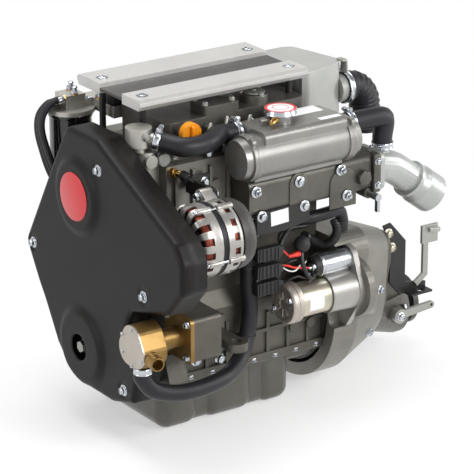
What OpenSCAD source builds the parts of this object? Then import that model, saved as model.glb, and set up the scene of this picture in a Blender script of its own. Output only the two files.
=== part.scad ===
// Three-cylinder marine diesel engine with belt cover, heat exchanger and gearbox.
// Pieces are drawn about the crankshaft axis, X aft from the cover's front face,
// and seat() then moves it so that the origin is the middle of the oil pan's flat bottom.

/* [Block] */
// Height of the crankshaft axis above the pan's flat bottom
crank_h = 158; // [152:1:166]
// Length of the cylinder block
block_l = 337; // [330:1:350]
// Reach of the block towards the service side
block_out = 113; // [108:1:118]
// Reach of the block towards the intake side
block_in = 107; // [102:1:112]
// Height of the block's top face above the crankshaft axis
deck_h = 230; // [224:1:238]
// Depth of the block's skirt below the crankshaft axis
skirt_h = 60; // [56:1:66]
// Cylinder bore
bore_d = 88; // [84:0.5:90]
// Piston stroke
stroke = 90; // [84:1:94]
// Distance between cylinder centres
bore_pitch = 98; // [95:1:102]
// Length of the oil pan's deep part
pan_l = 292; // [280:1:300]

/* [Belt cover] */
// Depth of the belt cover
cover_d = 60; // [56:1:66]
// Width of the belt cover
cover_w = 526; // [515:1:535]
// Height of the belt cover
cover_h = 486; // [478:1:494]
// Wall of the belt cover
cover_wall = 3; // [2.5:0.5:4]
// Radius of the round badge
badge_r = 45; // [40:1:50]
// Radius of the access hole before the crankshaft bolt
access_r = 25; // [20:1:28]

/* [Head and covers] */
// Height of the cylinder head
head_h = 120; // [114:1:126]
// Height of the rocker cover
rocker_h = 70; // [66:1:74]
// Length of the top rails
rail_l = 367; // [355:1:375]
// Thickness of the top rails
rail_t = 19; // [15:1:22]

/* [Heat exchanger] */
// Radius of the heat exchanger's barrel
cooler_r = 40; // [38:0.5:41]
// Length of the heat exchanger's body
cooler_l = 210; // [200:1:220]
// Radius of the coolant cap
coolant_cap_r = 30; // [27:1:33]

/* [Alternator] */
// Radius of the alternator housing
alt_r = 67; // [63:1:69]
// Radius of the alternator pulley
alt_pulley_r = 24; // [22:1:25]

/* [Pumps and pulleys] */
// Radius of the crankshaft pulley
crank_pulley_r = 44; // [42:1:45]
// Radius of the coolant pump pulley
coolant_pulley_r = 56; // [52:1:58]
// Radius of the sea-water pump's bore
pump_bore_r = 30; // [28:1:32]
// Outer radius of the sea-water hose
sea_hose_r = 15.5; // [15:0.5:17]

/* [Starter] */
// Radius of the starter's end disc
starter_r = 39; // [36:1:41]
// Radius of the solenoid
coil_r = 22; // [20:1:23]

/* [Exhaust and gearbox] */
// Outer radius of the exhaust outlet
outlet_r = 38; // [36:0.5:40]
// Radius of the output flange
flange_r = 50; // [48:1:54]
// Bolt circle diameter of the output flange
flange_pcd = 78; // [74:1:80]
// Radius of the output flange's bolt holes
flange_hole_r = 5.25; // [4.5:0.25:5.5]
// Length of the shift lever between pivot and cable hole
lever_l = 78; // [70:1:82]

/* [Hidden] */
paint = [0.5, 0.5, 0.47];
alloy = [0.72, 0.72, 0.7];
steel = [0.6, 0.6, 0.58];
iron = [0.38, 0.38, 0.36];
black = [0.09, 0.09, 0.1];
brass = [0.72, 0.56, 0.25];
orange = [0.95, 0.55, 0.05];
red = [0.85, 0.08, 0.1];
$fn = 48;
// One overrun for every cut, one clearance for running fits, one gap between neighbours
cut = 1;
fit = 0.05;
gap = 0.3;
// Radius of the commonest bolt's shank, and its head
bolt_r = 4;
head_r = 7;
head_t = 6;
washer_r = 10;
washer_t = 2;

// Places along the crankshaft, measured from the belt cover's front face
block_x = 125;
case_x = 85;
pan_x = 104;
block_end = block_x + block_l;
origin_x = pan_x + pan_l / 2;
pan_depth = crank_h;
first_bore_x = block_x + (block_l - 2 * bore_pitch) / 2;
bore_r = bore_d / 2;
throw = stroke / 2;

// Block
shoulder_z = 60;
neck_out = 96;
neck_in = 92;
deck_step = 30;
rail_lip = 7;
rail_lip_t = 12;
rib_t = 7;
rib_deep = 5;
wall_t = 22;
sump_r = 82;
case_wall = 14;
journal_r = 27;
plug_r = 17;
boss_r = 10;
mount_pad = [52, 12, 40];
mount_pad_z = -10;

// Crankshaft, flywheel and pistons
web_t = 13;
web_r = 36;
pin_r = 24;
pin_web_r = 30;
counter_r = 66;
web_gap = 2;
nose_r = 16;
nose_end = 14;
crank_bolt_r = 11;
crank_bolt_t = 12;
crank_tail = 16;
crank_tail_r = 38;
flywheel_r = 126;
flywheel_t = 34;
ring_gear_t = 12;
ring_gear_deep = 5;
rod_l = 145;
crown_h = 40 - gap;
piston_skirt = 24;
ring_w = 2.5;
ring_deep = 1;
gudgeon_r = 13;
skirt_wall = 6;
pulley_rib = 3;
pulley_ribs = 6;
pulley_rim = 2;
pulley_hub_r = 24;

// Oil pan
pan_r = 26;
pan_wall = 4;
pan_flange_t = 6;
tray_deep = 86;
pan_groove = 7;
pan_lobe_shares = [[0, 0.30], [0.335, 0.715], [0.75, 1]];

// Gear case, with its pocket for the sea-water pump
case_t = block_x - case_x;
case_shares = [[-0.24, -0.1234], [-0.335, -0.10], [-0.29, 0.03], [-0.235, 0.05], [-0.235, 0.30],
  [-0.42, 0.305], [-0.42, 0.37], [-0.235, 0.44], [-0.165, 0.585], [-0.095, 0.585], [-0.085, 0.66],
  [0.06, 0.66], [0.21, 0.44], [0.345, 0.33], [0.345, 0.285], [0.203, 0.19], [0.203, -0.1234]];
pocket_l = 65;
pocket_out = 240;
pocket_low = 28;
pocket_high = 112;
pocket_r = 10;
crank_seal_r = 34;

// Belt cover: its outline as shares of its width and height, about the crankshaft axis
cover_shares = [[0.373, 0.313], [0.175, -0.045], [0.12, -0.105], [0, -0.156], [-0.184, -0.156],
  [-0.318, -0.115], [-0.27, 0.02], [-0.40, 0.154], [-0.535, 0.31], [-0.627, 0.42], [-0.627, 0.53],
  [-0.584, 0.594], [-0.112, 0.843], [0.086, 0.843], [0.169, 0.691]];
cover_round_shares = [0.04, 0, 0, 0.1, 0.03, 0.03, 0, 0, 0.02, 0.05, 0.06, 0.04, 0.05, 0.05, 0.02];
cover_step = 8;
badge_y = 7;
badge_z = 288;
badge_t = 1.5;
badge_boss_r = 62;
crank_boss_r = 64;
boss_flare = 11;
cover_bolt_shares = [[0.321, 0.309], [-0.12, 0.73], [-0.3925, 0.3355], [-0.26, -0.08]];
cover_post_r = 7;
cover_post_ends = [85, 72, 85, 85];
post_boss_r = 9.5;
pump_y = -210;
pump_z = 75;
pump_clear_r = 62;

// Cylinder head and rocker cover
head_out = 105;
head_in = 95;
head_x = block_x;
head_l = block_l - 4;
head_top = deck_h + head_h;
head_rib_t = 6;
head_rib_deep = 6;
rocker_out = 82;
rocker_in = 75;
rocker_x = 140;
rocker_l = 305;
rocker_round = 16;
rocker_flange_t = 9;
rocker_lip = 6;
rocker_top = head_top + rocker_h;
injector_box = [74, 52, 17];
injector_box_x = 224;
breather_r = 27;
breather_t = 15;
breather_x = 352;
breather_y = -48;
filler_x = 176;
filler_z = 404;
filler_neck_r = 17;
filler_neck_l = 16;
filler_cap_r = 20;
filler_cap_t = 13;
filler_grip = [6, 14, 30];

// Top rails
rail_x = 90;
rail_top = 470;
front_rail_y = -75;
front_rail_w = 59;
back_rail_y = 58;
back_rail_w = 77;
rail_chamfer = 5;
rail_inset = 24;
dish_r = 11;
dish_deep = 4;
panel_drop = 8;
panel_t = 5;
post_r = 6;
post_foot_r = 10;
post_block = 26;

// Air intake
silencer_shares = [[0, 0.03], [0.1, 0], [0.88, 0.14], [1, 0.24], [0.78, 0.95], [0.62, 1], [0, 1]];
silencer_x = 462;
silencer_y = -52;
silencer_l = 112;
silencer_w = 165;
silencer_low = 342;
silencer_high = 452;
silencer_round = 13;
duct_r = 27;
duct_wall = 3;
duct_y = -14;
duct_z = 396;
duct_stub = 16;
elbow_bend = 40;
elbow_drop = 92;
intake_x = 150;
intake_l = 290;
intake_y = 112;
intake_w = 58;
intake_z = 288;
intake_h = 62;
runner_r = 19;

// Heat exchanger
cooler_x = 262;
cooler_y = -155;
cooler_z = 355.5;
cooler_wall = 4;
cooler_flange_r = 43;
cooler_flange_t = 8;
cap_dome = 22;
cap_dome_r = 36;
tank_x = 283;
tank_l = 180;
tank_out = 186;
tank_in = 90;
tank_top = 404;
tank_low = 352;
tank_round = 12;
neck_x = 347;
neck_y = -140;
neck_r = 20;
neck_bore_r = 14;
neck_h = 17;
coolant_cap_t = 9;
coolant_skirt_t = 3;
coolant_plug_h = 8;
nipple_r = 4.5;
nipple_l = 26;
lug_r = 8;
front_port_y = -103;
front_port_z = 389;
rear_port_y = -140;
rear_port_z = 374;
port_r = 12;
hose_r = 18;
rear_hose_r = 19;
saddle_h = 14;

// Exhaust side
ex_x = 262;
ex_l = 290;
ex_out = 165;
ex_low = 243;
ex_high = 312;
ex_round = 14;
ex_flange_t = 10;
ex_flange_w = 76;
ex_flange_h = 74;
ex_bolt_shares = [[0.04, 0.72], [0.37, 0.74], [0.69, 0.80], [0.74, 0.05]];
elbow_r = 30;
elbow_wall = 4;
elbow_run = 42;
elbow_turn = 37;
elbow_tail = 92;
flare_l = 42;
bead_r = 36;
bead_t = 8;
water_stub_r = 14;
water_stub_l = 11;
drain_x = 531;
drain_z = 238;
drain_stem_r = 4;
drain_body_r = 7;
drain_body_l = 30;
drain_arm = [6, 24, 8];

// Thermostat housing
thermo_x = 86;
thermo_y = -76;
thermo_z = 408;
thermo_r = 24;
thermo_column_r = 20;
thermo_column_h = 92;
thermo_neck_r = 15;
thermo_shift = [8, -6];
thermo_arm_w = 22;
thermo_arm_h = 58;
thermo_boss_z = 366;
spout_r = 12;
thermo_low = 290;

// Alternator
alt_y = -236;
alt_z = 256;
alt_x = 72;
half_l = 42;
stator_l = 12;
rear_l = 34;
rear_cover_l = 34;
stator_drop = 3;
slot_w = 7;
slot_inner_share = 0.55;
slot_outer_share = 0.9;
slots = 14;
slots_side = 16;
shell_t = 4;
shaft_r = 8;
fan_r = 50;
fan_t = 5;
fan_blades = 9;
belt_x = 26;
belt_w = 22;
belt_t = 4;
ear_r = 13;
ear_t = 24;
pivot_y = -182;
pivot_z = 171;
top_ear_y = -190;
top_ear_z = 318;
strap_out = 120;
strap_low = 300;
strap_h = 28;
strap_t = 7;
strap_l = 46;
coolant_y = 0;
coolant_z = 288;
idler_shaft_r = 12;

// Sea-water pump
pump_x = -20;
pump_body_l = 46;
pump_neck_r = 19;
pump_flange_t = 8;
pump_flange_w = 84;
pump_flange_h = 84;
pump_cover_t = 3;
pump_r = 40;
pump_port_r = 12.5;
pump_port_wall = 2.5;
pump_port_l = 48;
pump_shaft_r = 8;
impeller_hub_r = 13;
impeller_blades = 6;
blade_t = 3;
impeller_w = 26;
screw_r = 3.5;
screw_t = 2;

// Starter
starter_y = -165;
starter_z = 62;
starter_x = 336;
end_disc_t = 26;
yoke_r = 33;
yoke_l = 66;
starter_flange_t = 11;
coil_z = 118;
coil_y = -158;
coil_x = 404;
terminal_r = 4;
terminal_l = 12;

// Flywheel housing and gearbox
bell_r = 158;
bell_end_r = 118;
bell_l = 148;
bell_wall = 9;
bell_corner = [-124, 122];
bell_corner_r = 38;
bell_shoulder = [-92, 98];
bell_shoulder_r = 34;
bell_pad_r = 56;
box_end = 716;
box_r = 104;
box_tail_r = 62;
box_y = 0;
output_z = -70;
output_shaft_r = 20;
output_shaft_l = 32;
flange_t = 12;
box_plate_t = 30;
flange_hub_r = 30;
flange_face_x = 748;
pilot_r = 25;
pilot_t = 3;
lever_x = 662;
lever_z = -58;
lever_y = -92;
lever_hub_r = 17;
lever_w = 16;
lever_t = 7;
lever_rise = 6;
lever_tip_r = 7;
lever_hole_r = 3.2;
lever_shaft_r = 8;
bracket_y = -82;
bracket_t = 4;
bracket_shares = [[0, 0.98], [0.17, 1], [0.52, 0.72], [0.52, 0.16], [1, 0.1], [1, 0], [0.42, 0],
  [0.17, 0.2], [0.17, 0.7]];
bracket_w = 106;
bracket_h = 152;
bracket_x = 628;
bracket_z = -20;
bracket_shelf = 26;
arm_x = 706;
arm_z = -4;
arm_t = 6;
arm_w = 12;
arm_slope = 35;
arm_l = 84;
arm_bend_l = 34;
arm_plate = [38, 6, 36];

// Fuel filter
filter_x = 92;
filter_y = 165;
filter_top = 392;
filter_r = 39.5;
filter_h = 118;
filter_round = 8;
filter_plate_r = 46;
filter_plate_t = 8;
filter_head_h = 34;
filter_head_w = 40;
filter_arm = [72, 34, 22];
fuel_hose_r = 5.5;

// Service side trim
connector_size = [51, 16, 23];
connector_x = 279;
connector_back = 5;
connector_y = -168;
connector_zs = [167, 133, 101];
plate_x = 275.5;
plate_l = 118;
plate_z = 206;
plate_h = 47;
plate_t = 3;
plate_shares = [[0, 0.92], [1, 1], [1, 0.2], [0.53, 0], [0.02, 0.06]];
plate_bolt_shares = [[0.1, 0.79], [0.9, 0.83]];

// Intake side
oil_filter_x = 300;
oil_filter_z = 20;
oil_filter_r = 38;
oil_filter_l = 76;
oil_pad_r = 44;
oil_pad_l = 14;
rail_tube_r = 10;
pipe_r = 4;
fuel_rail_z = 268;
fuel_rail_y = 108;
fuel_rail_l = 250;
supply_x = 125;
supply_r = 34;
supply_l = 66;
supply_y = 148;
supply_z = 150;
dip_x = 452;
dip_y = 147;
dip_top = 330;
dip_blade_r = 2;
dip_tube_r = 5;
dip_grip_r = 11;

// Mount brackets and lifting eyes
eye_x = 203;
eye_y = -210;
eye_z = 36;
eye_r = 20.5;
eye_hole_r = 9;
eye_t = 16;
mount_foot = [60, 10, 70];
lift_t = 8;
lift_r = 18;
lift_hole_r = 9;
lift_h = 42;
lift_front_x = 245;
lift_back_x = 442;

// Smaller places
clamp_t = 1.2;
clamp_screw_r = 4.5;
clamp_screw_l = 17;
coolant_nose_l = 18;
starter_face = 496;
lever_shaft_l = 26;
hose_grip = 24;
stub_l = 11;
filter_reach = filter_y - rocker_in - gap;
fuel_starts = [[-20, -12.5, 27], [-20, 0, 21.5], [-20, 12.5, 16.5]];
fuel_hose_out = 34;
fuel_hose_down = -150;
fuel_hose_end = 40;
rail_x0 = 145;
dip_low = 20;

// Derived places where pieces meet
ex_pipe_y = -ex_out - ex_round / 2 + ex_flange_w / 2;
ex_pipe_z = ex_low - ex_round / 4 + ex_flange_h / 2;
spout_way = unit([0.66, -0.73, -0.19]);
spout_end = [thermo_x, thermo_y, thermo_z] + spout_way * (thermo_r + clamp_screw_r);
front_port = [tank_x - gap, front_port_y, front_port_z];
hose_sides = 16;
pan_sides = 32;
post_xs = [rail_x + rail_inset, rail_x + rail_l - rail_inset];
post_ys = [front_rail_y + front_rail_w / 2, 88];
rear_port = [cooler_x + cooler_l + cap_dome + 2 * gap, rear_port_y, rear_port_z];
water_stub_top = [ex_x + ex_l + elbow_run * 0.76, ex_pipe_y, ex_pipe_z + elbow_r + 4 * gap];
sea_port = [pump_x + pump_body_l / 2, pump_y, pump_z - pump_r];
sea_end = [283, -135, ex_low - gap * 4];
small_hose_r = 12;
small_stub_r = 8;
front_hose_mids = [[143, -137, 393], [186, -138, 392], [216, -122, 393], [240, -104.5, 391]];
rear_hose_mids = [[572, -138, 372], [588, -134, 362]];
sea_hose_mids = [[26, -214, -16], [90, -216, -34], [180, -196, -38], [245, -158, -30], [276, -138, 6],
  [283.7, -135.5, 60], [280, -135.5, 115], [281, -135, 170]];
water_hose_start = [392, -neck_out - gap, 203];
water_hose_mids = [[420, -134, 204], [455, -136, 206], [486, -132, 204]];
water_hose_end = [500, bell_corner[0], bell_corner[1] + bell_corner_r + gap];

// Frame and simple turned shapes
module seat() {
  move(-origin_x, 0, crank_h) children();
}

module xcyl(r, l) {
  rotate([0, 90, 0]) cylinder(r = r, h = l);
}

module xcone(r1, r2, l) {
  rotate([0, 90, 0]) cylinder(r1 = r1, r2 = r2, h = l);
}

// A round bar that runs towards the service side
module ycyl(r, l) {
  rotate([90, 0, 0]) cylinder(r = r, h = l);
}

module xring(ro, ri, l) {
  difference() {
    xcyl(ro, l);
    move(-cut, 0, 0) xcyl(ri, l + 2 * cut);
  }
}

// An outline in Y and Z, drawn aft by l
module slab_x(l) {
  rotate([90, 0, 90]) linear_extrude(l) children();
}

// An outline in X and Z, drawn towards the service side by l
module slab_y(l) {
  rotate([90, 0, 0]) linear_extrude(l) children();
}

module round_rect(w, h, r) {
  move(r, 0) square([w - 2 * r, h]);
  move(0, r) square([w, h - 2 * r]);
  for (x = [r, w - r]) {
    for (y = [r, h - r]) {
      move(x, y) circle(r);
    }
  }
}

// Outlines with round corners: the tangent points, and a circle in each rounded corner
function unit(v) = v / norm(v);
function turn(a, b) = acos(min(1, max(-1, a * b)));
function wrap(i, n) = (i + n) % n;
function into(pts, i) = unit(pts[i] - pts[wrap(i - 1, len(pts))]);
function out_of(pts, i) = unit(pts[wrap(i + 1, len(pts))] - pts[i]);
function tangent(pts, i, r) = r * tan(turn(into(pts, i), out_of(pts, i)) / 2);
function corner(pts, i, r) = r == 0 ? [pts[i]]
  : [pts[i] - into(pts, i) * tangent(pts, i, r), pts[i] + out_of(pts, i) * tangent(pts, i, r)];
function centre(pts, i, r) = pts[i] + unit(out_of(pts, i) - into(pts, i)) * r
  / cos(turn(into(pts, i), out_of(pts, i)) / 2);

module round_outline(pts, radii) {
  polygon([for (i = [0 : len(pts) - 1]) each corner(pts, i, radii[i])]);
  for (i = [0 : len(pts) - 1]) {
    if (radii[i] > 0) {
      translate(centre(pts, i, radii[i])) circle(radii[i]);
    }
  }
}

// The same outline with every edge moved inwards by d, for outlines that run clockwise
function left_of(v) = [-v[1], v[0]];
function inset_point(pts, i, d) = pts[i] + (left_of(into(pts, i)) + left_of(out_of(pts, i))) * d
  / (1 + into(pts, i) * out_of(pts, i));
function inset(pts, d) = [for (i = [0 : len(pts) - 1]) inset_point(pts, i, d)];

module move(x, y, z = 0) {
  translate([x, y, z]) children();
}

// Puts the children's Z axis along the unit vector a, at the point o
module place(o, x, y, z) {
  multmatrix([[x[0], y[0], z[0], o[0]], [x[1], y[1], z[1], o[1]], [x[2], y[2], z[2], o[2]], [0, 0, 0, 1]])
    children();
}

module aim(o, a) {
  side = abs(a[2]) < 0.9 ? [0, 0, 1] : [1, 0, 0];
  x = unit(cross(side, a));
  place(o, x, cross(a, x), a) children();
}

// Hoses and pipes: rings of points swept along a smooth curve through the route's points
function spline_point(a, b, c, d, t) = 0.5 * (2 * b + (c - a) * t + (2 * a - 5 * b + 4 * c - d) * t * t
  + (3 * b - a - 3 * c + d) * t * t * t);
function spline(p, steps) = [for (i = [0 : len(p) - 2]) for (k = [0 : steps - 1])
  spline_point(p[max(i - 1, 0)], p[i], p[i + 1], p[min(i + 2, len(p) - 1)], k / steps), p[len(p) - 1]];
function carry(t, i, x) = i >= len(t) ? []
  : let (n = unit(x - t[i] * (x * t[i]))) concat([n], carry(t, i + 1, n));
function ring_points(pts, t, x, r, sides) = [for (i = [0 : len(pts) - 1]) for (k = [0 : sides - 1])
  pts[i] + r * (cos(360 * k / sides) * x[i] + sin(360 * k / sides) * cross(t[i], x[i]))];
function wall_faces(n, sides, at, inside) = [for (i = [0 : n - 2]) for (k = [0 : sides - 1])
  let (a = at + i * sides + k, b = at + i * sides + (k + 1) % sides, c = a + sides, d = b + sides)
  each inside ? [[a, d, c], [a, b, d]] : [[a, c, d], [a, d, b]]];
function end_faces(n, sides, last) = [for (k = [0 : sides - 1])
  let (at = last ? (n - 1) * sides : 0, m = (k + 1) % sides,
    a = at + k, b = at + m, c = n * sides + at + m, d = n * sides + at + k)
  each last ? [[a, d, c], [a, c, b]] : [[a, b, c], [a, c, d]]];

function ring_ways(route, pts) = let (n = len(pts)) [for (i = [0 : n - 1]) i == 0 ? way(route, 0)
  : (i == n - 1 ? way(route, len(route) - 2) : unit(pts[i + 1] - pts[i - 1]))];

module sweep_tube(route, ro, ri, sides, steps) {
  pts = spline(route, steps);
  n = len(pts);
  t = ring_ways(route, pts);
  x = carry(t, 0, abs(t[0][2]) < 0.8 ? [0, 0, 1] : [1, 0, 0]);
  polyhedron(points = concat(ring_points(pts, t, x, ro, sides), ring_points(pts, t, x, ri, sides)),
    faces = concat(wall_faces(n, sides, 0, false), wall_faces(n, sides, n * sides, true),
      end_faces(n, sides, false), end_faces(n, sides, true)));
}

module sweep_bar(route, r, sides, steps) {
  pts = spline(route, steps);
  n = len(pts);
  t = ring_ways(route, pts);
  x = carry(t, 0, abs(t[0][2]) < 0.8 ? [0, 0, 1] : [1, 0, 0]);
  polyhedron(points = ring_points(pts, t, x, r, sides),
    faces = concat(wall_faces(n, sides, 0, false), [[for (k = [0 : sides - 1]) k]],
      [[for (k = [0 : sides - 1]) n * sides - 1 - k]]));
}

// A faceted bore's corner radius that clears a round stub of radius r
function round_stub(r, sides) = (r + gap / 2) / cos(180 / sides);

function way(pts, i) = unit(pts[i + 1] - pts[i]);

// A worm-drive clamp round a hose: the band and its screw housing
module clamp(o, a, r) {
  band = r * 0.55;
  aim(o, a) {
    difference() {
      cylinder(r = r + gap + clamp_t, h = band, center = true);
      cylinder(r = r + gap / 3, h = band + 2 * cut, center = true);
    }
    move(0, r + clamp_t + clamp_screw_r * 0.9, 0) rotate([0, 90, 0])
      cylinder(r = clamp_screw_r, h = clamp_screw_l, center = true);
  }
}

// A hexagon bolt head on a washer, pointing along the unit vector a
module bolt_head(o, a, r = head_r) {
  aim(o, a) {
    cylinder(r = r * 1.35, h = washer_t);
    move(0, 0, washer_t - cut / 10) cylinder(r = r, h = head_t, $fn = 6);
  }
}

function bore_x(i) = first_bore_x + i * bore_pitch;
function share_point(s, w, h) = [s[0] * w, s[1] * h];

// Cylinder block: shoulders, bottom rail, bores, and bearing walls round the crankshaft
module block_outline() {
  polygon([[-block_out, -skirt_h], [-block_out, shoulder_z], [-neck_out, shoulder_z + deck_step],
    [-neck_out, deck_h], [neck_in, deck_h], [neck_in, shoulder_z + deck_step], [block_in, shoulder_z],
    [block_in, -skirt_h]]);
}

module crankcase_room(i) {
  room = bore_pitch - wall_t;
  move(bore_x(i) - room / 2, 0, 0) {
    intersection() {
      xcyl(sump_r, room);
      move(0, -sump_r, -skirt_h - cut) cube([room, 2 * sump_r, 3 * sump_r]);
    }
    move(0, -sump_r, -skirt_h - cut) cube([room, 2 * sump_r, skirt_h + cut]);
  }
}

module cylinder_block() {
  color(paint) difference() {
    union() {
      move(block_x, 0, 0) slab_x(block_l) block_outline();
      move(block_x, -block_out - rail_lip, -skirt_h)
        cube([block_l, block_out + block_in + 2 * rail_lip, rail_lip_t]);
      for (i = [0 : 6]) {
        move(block_x + block_l * (i + 0.6) / 7.4, -block_out - rib_deep, -skirt_h + rail_lip_t)
          cube([rib_t, rib_deep + cut, shoulder_z + skirt_h / 3]);
        move(block_x + block_l * (i + 0.6) / 7.4, block_in - cut, -skirt_h + rail_lip_t)
          cube([rib_t, rib_deep + cut, shoulder_z + skirt_h / 3]);
      }
      move(block_x, -block_out - rib_deep, -rib_t) cube([block_l, rib_deep + cut, rib_t]);
      move(water_hose_start[0], -neck_out + cut, water_hose_start[2]) ycyl(small_stub_r, stub_l + cut);
      for (i = [0 : 2]) {
        move(bore_x(i), -neck_out + cut, (shoulder_z + deck_h) / 2 + deck_step / 2)
          ycyl(plug_r, rib_deep + cut);
      }
      for (x = [block_end - mount_pad[0] * 1.3, block_end - mount_pad[0] * 0.55]) {
        move(x, -block_out + cut, mount_pad_z) ycyl(boss_r, rib_deep * 2 + cut);
      }
      move(dip_x, dip_y, dip_low - dip_tube_r)
        cylinder(r = dip_tube_r, h = dip_top - dip_low + dip_tube_r - gap);
      move(dip_x - dip_tube_r, block_in - cut, dip_low - dip_tube_r)
        cube([2 * dip_tube_r, dip_y - block_in + cut, 4 * dip_tube_r]);
    }
    move(dip_x, dip_y, dip_low) cylinder(r = dip_blade_r + fit, h = dip_top);
    for (i = [0 : 2]) {
      move(bore_x(i), 0, 0) cylinder(r = bore_r, h = deck_h + cut);
      crankcase_room(i);
    }
    move(block_x - cut, 0, 0) xcyl(journal_r + fit, block_l + 2 * cut);
    move(block_end - crank_tail, 0, 0) xcyl(crank_tail_r + fit, crank_tail + cut);
  }
}

// Cylinder head with port faces and ribs
module cylinder_head() {
  color(paint) {
    move(head_x, -head_out, deck_h) cube([head_l, head_out + head_in, head_h - gap]);
    for (i = [0 : 3]) {
      move(head_x + head_l * (i + 0.4) / 9, -head_out - head_rib_deep, deck_h + head_h * 0.1)
        cube([head_rib_t, head_rib_deep + cut, head_h * 0.8]);
    }
    move(head_x + head_l * 0.31, -head_out + cut, deck_h + head_h * 0.58)
      ycyl(boss_r, head_rib_deep + cut);
  }
}

module rocker_cover() {
  color(iron) difference() {
    union() {
      move(rocker_x - rocker_lip, -rocker_out - rocker_lip, head_top)
        linear_extrude(rocker_flange_t)
        round_rect(rocker_l + 2 * rocker_lip, rocker_out + rocker_in + 2 * rocker_lip, rocker_round);
      move(rocker_x, -rocker_out, head_top) linear_extrude(rocker_h)
        round_rect(rocker_l, rocker_out + rocker_in, rocker_round);
      move(injector_box_x, -rocker_out, rocker_top - cut) linear_extrude(injector_box[2] + cut)
        round_rect(injector_box[0], injector_box[1], rocker_round / 3);
      move(breather_x, breather_y, rocker_top - cut) cylinder(r = breather_r, h = breather_t + cut);
      move(filler_x, -rocker_out + cut, filler_z) ycyl(filler_neck_r, filler_neck_l + cut);
    }
    move(filler_x, -rocker_out - filler_neck_l + cut * 9, filler_z)
      ycyl(filler_neck_r * 0.75, cut * 10);
  }
}

// Deep oil pan with three lobes and a flange under the block and the gear case
module pan_lobe(x0, x1, side_in, deep, r) {
  hull() {
    for (x = [x0 + r, x1 - r]) {
      for (y = [-block_out + side_in + r, block_in - side_in - r]) {
        move(x, y, -deep + r * cos(180 / pan_sides)) sphere(r = r, $fn = pan_sides);
        move(x, y, -skirt_h - pan_flange_t) cylinder(r = r, h = pan_flange_t, $fn = pan_sides);
      }
    }
  }
}

module oil_pan() {
  color(paint) difference() {
    union() {
      move(case_x, -block_out - rail_lip, -skirt_h - pan_flange_t)
        cube([block_end - case_x, block_out + block_in + 2 * rail_lip, pan_flange_t]);
      for (s = pan_lobe_shares) {
        pan_lobe(pan_x + pan_l * s[0], pan_x + pan_l * s[1], 0, pan_depth, pan_r);
      }
      pan_lobe(pan_x + pan_groove, pan_x + pan_l - pan_groove, pan_groove, pan_depth - gap, pan_r);
      pan_lobe(pan_x + pan_l - 2 * pan_r, block_end - pan_groove, pan_groove, tray_deep, pan_r / 2);
    }
    pan_lobe(pan_x + pan_l - 2 * pan_r, block_end - pan_groove - pan_wall, pan_groove + pan_wall,
      tray_deep - pan_wall, pan_r / 2 - pan_wall);
    pan_lobe(pan_x + pan_groove + pan_wall, pan_x + pan_l - pan_groove - pan_wall, pan_groove + pan_wall,
      pan_depth - pan_wall - gap, pan_r - pan_wall);
    move(pan_x + pan_groove + pan_wall + pan_r, -block_out + pan_groove + pan_r,
      -skirt_h - pan_flange_t - cut)
      cube([pan_l - 2 * (pan_groove + pan_wall + pan_r), block_out + block_in - 2 * (pan_groove + pan_r),
        pan_flange_t + 2 * cut]);
    move(block_x + wall_t, -sump_r, -skirt_h - pan_flange_t - cut)
      cube([block_l - 2 * wall_t, 2 * sump_r, pan_flange_t + 2 * cut]);
  }
}

// Gear case behind the belt cover, with ears for the cover's posts and the pump pocket
module gear_case() {
  pts = [for (s = case_shares) share_point(s, cover_w, cover_h)];
  ear = share_point(cover_bolt_shares[2], cover_w, cover_h);
  color(paint) difference() {
    union() {
      difference() {
        move(case_x, 0, 0) slab_x(case_t) polygon(pts);
        move(case_x - cut, pts[5][0] - cut, pts[5][1] - cut)
          cube([alt_x + ear_t + gap - case_x + cut, pivot_y + ear_r + rib_t - pts[5][0], 4 * ear_r]);
      }
      move(case_x, ear[0], ear[1]) xcyl(post_boss_r, case_t);
      move(case_x, -pocket_out, pocket_low) slab_x(pocket_l)
        round_rect(pocket_out - block_out - rib_deep - gap, pocket_high - pocket_low, pocket_r);
      move(case_x - coolant_nose_l, coolant_y, coolant_z) xcyl(idler_shaft_r * 2, coolant_nose_l + cut);
    }
    move(case_x - cut, 0, 0) xcyl(crank_seal_r, case_t + 2 * cut);
    move(case_x - cut, pump_y, pump_z) xcyl(pump_shaft_r + fit, pocket_l - case_wall);
    move(case_x - coolant_nose_l - cut, coolant_y, coolant_z)
      xcyl(idler_shaft_r + fit, coolant_nose_l + case_t * 0.6);
  }
}

// Belt cover: a moulded shell, open behind, with rounds and an arch
module cover_body(d, front) {
  pts = inset([for (s = cover_shares) share_point(s, cover_w, cover_h)], d);
  radii = [for (s = cover_round_shares) max(0, s * cover_h - d)];
  move(front, 0, 0) difference() {
    slab_x(cover_d - front + (d > 0 ? cut : 0)) round_outline(pts, radii);
    move(-cut, pump_y, pump_z) xcyl(pump_clear_r + d, cover_d + 2 * cut);
  }
}

module cover_rounds(d) {
  move(d, badge_y, badge_z) xcone(badge_boss_r - d, badge_boss_r + boss_flare - d,
    cover_step + (d > 0 ? cut : gap));
  move(d, 0, 0) xcone(crank_boss_r - d, crank_boss_r + boss_flare - d, cover_step + (d > 0 ? cut : gap));
}

module belt_cover() {
  color(black) difference() {
    union() {
      cover_body(0, cover_step);
      cover_rounds(0);
    }
    cover_body(cover_wall, cover_step + cover_wall);
    cover_rounds(cover_wall);
    move(-cut, 0, 0) xcyl(access_r, cover_step + cover_wall + 2 * cut);
    for (s = cover_bolt_shares) {
      move(cover_step - cut, s[0] * cover_w, s[1] * cover_h) xcyl(bolt_r, cover_wall + 2 * cut);
    }
  }
}

module cover_badge() {
  color(red) move(-badge_t, badge_y, badge_z) xcyl(badge_r, badge_t);
}

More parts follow.
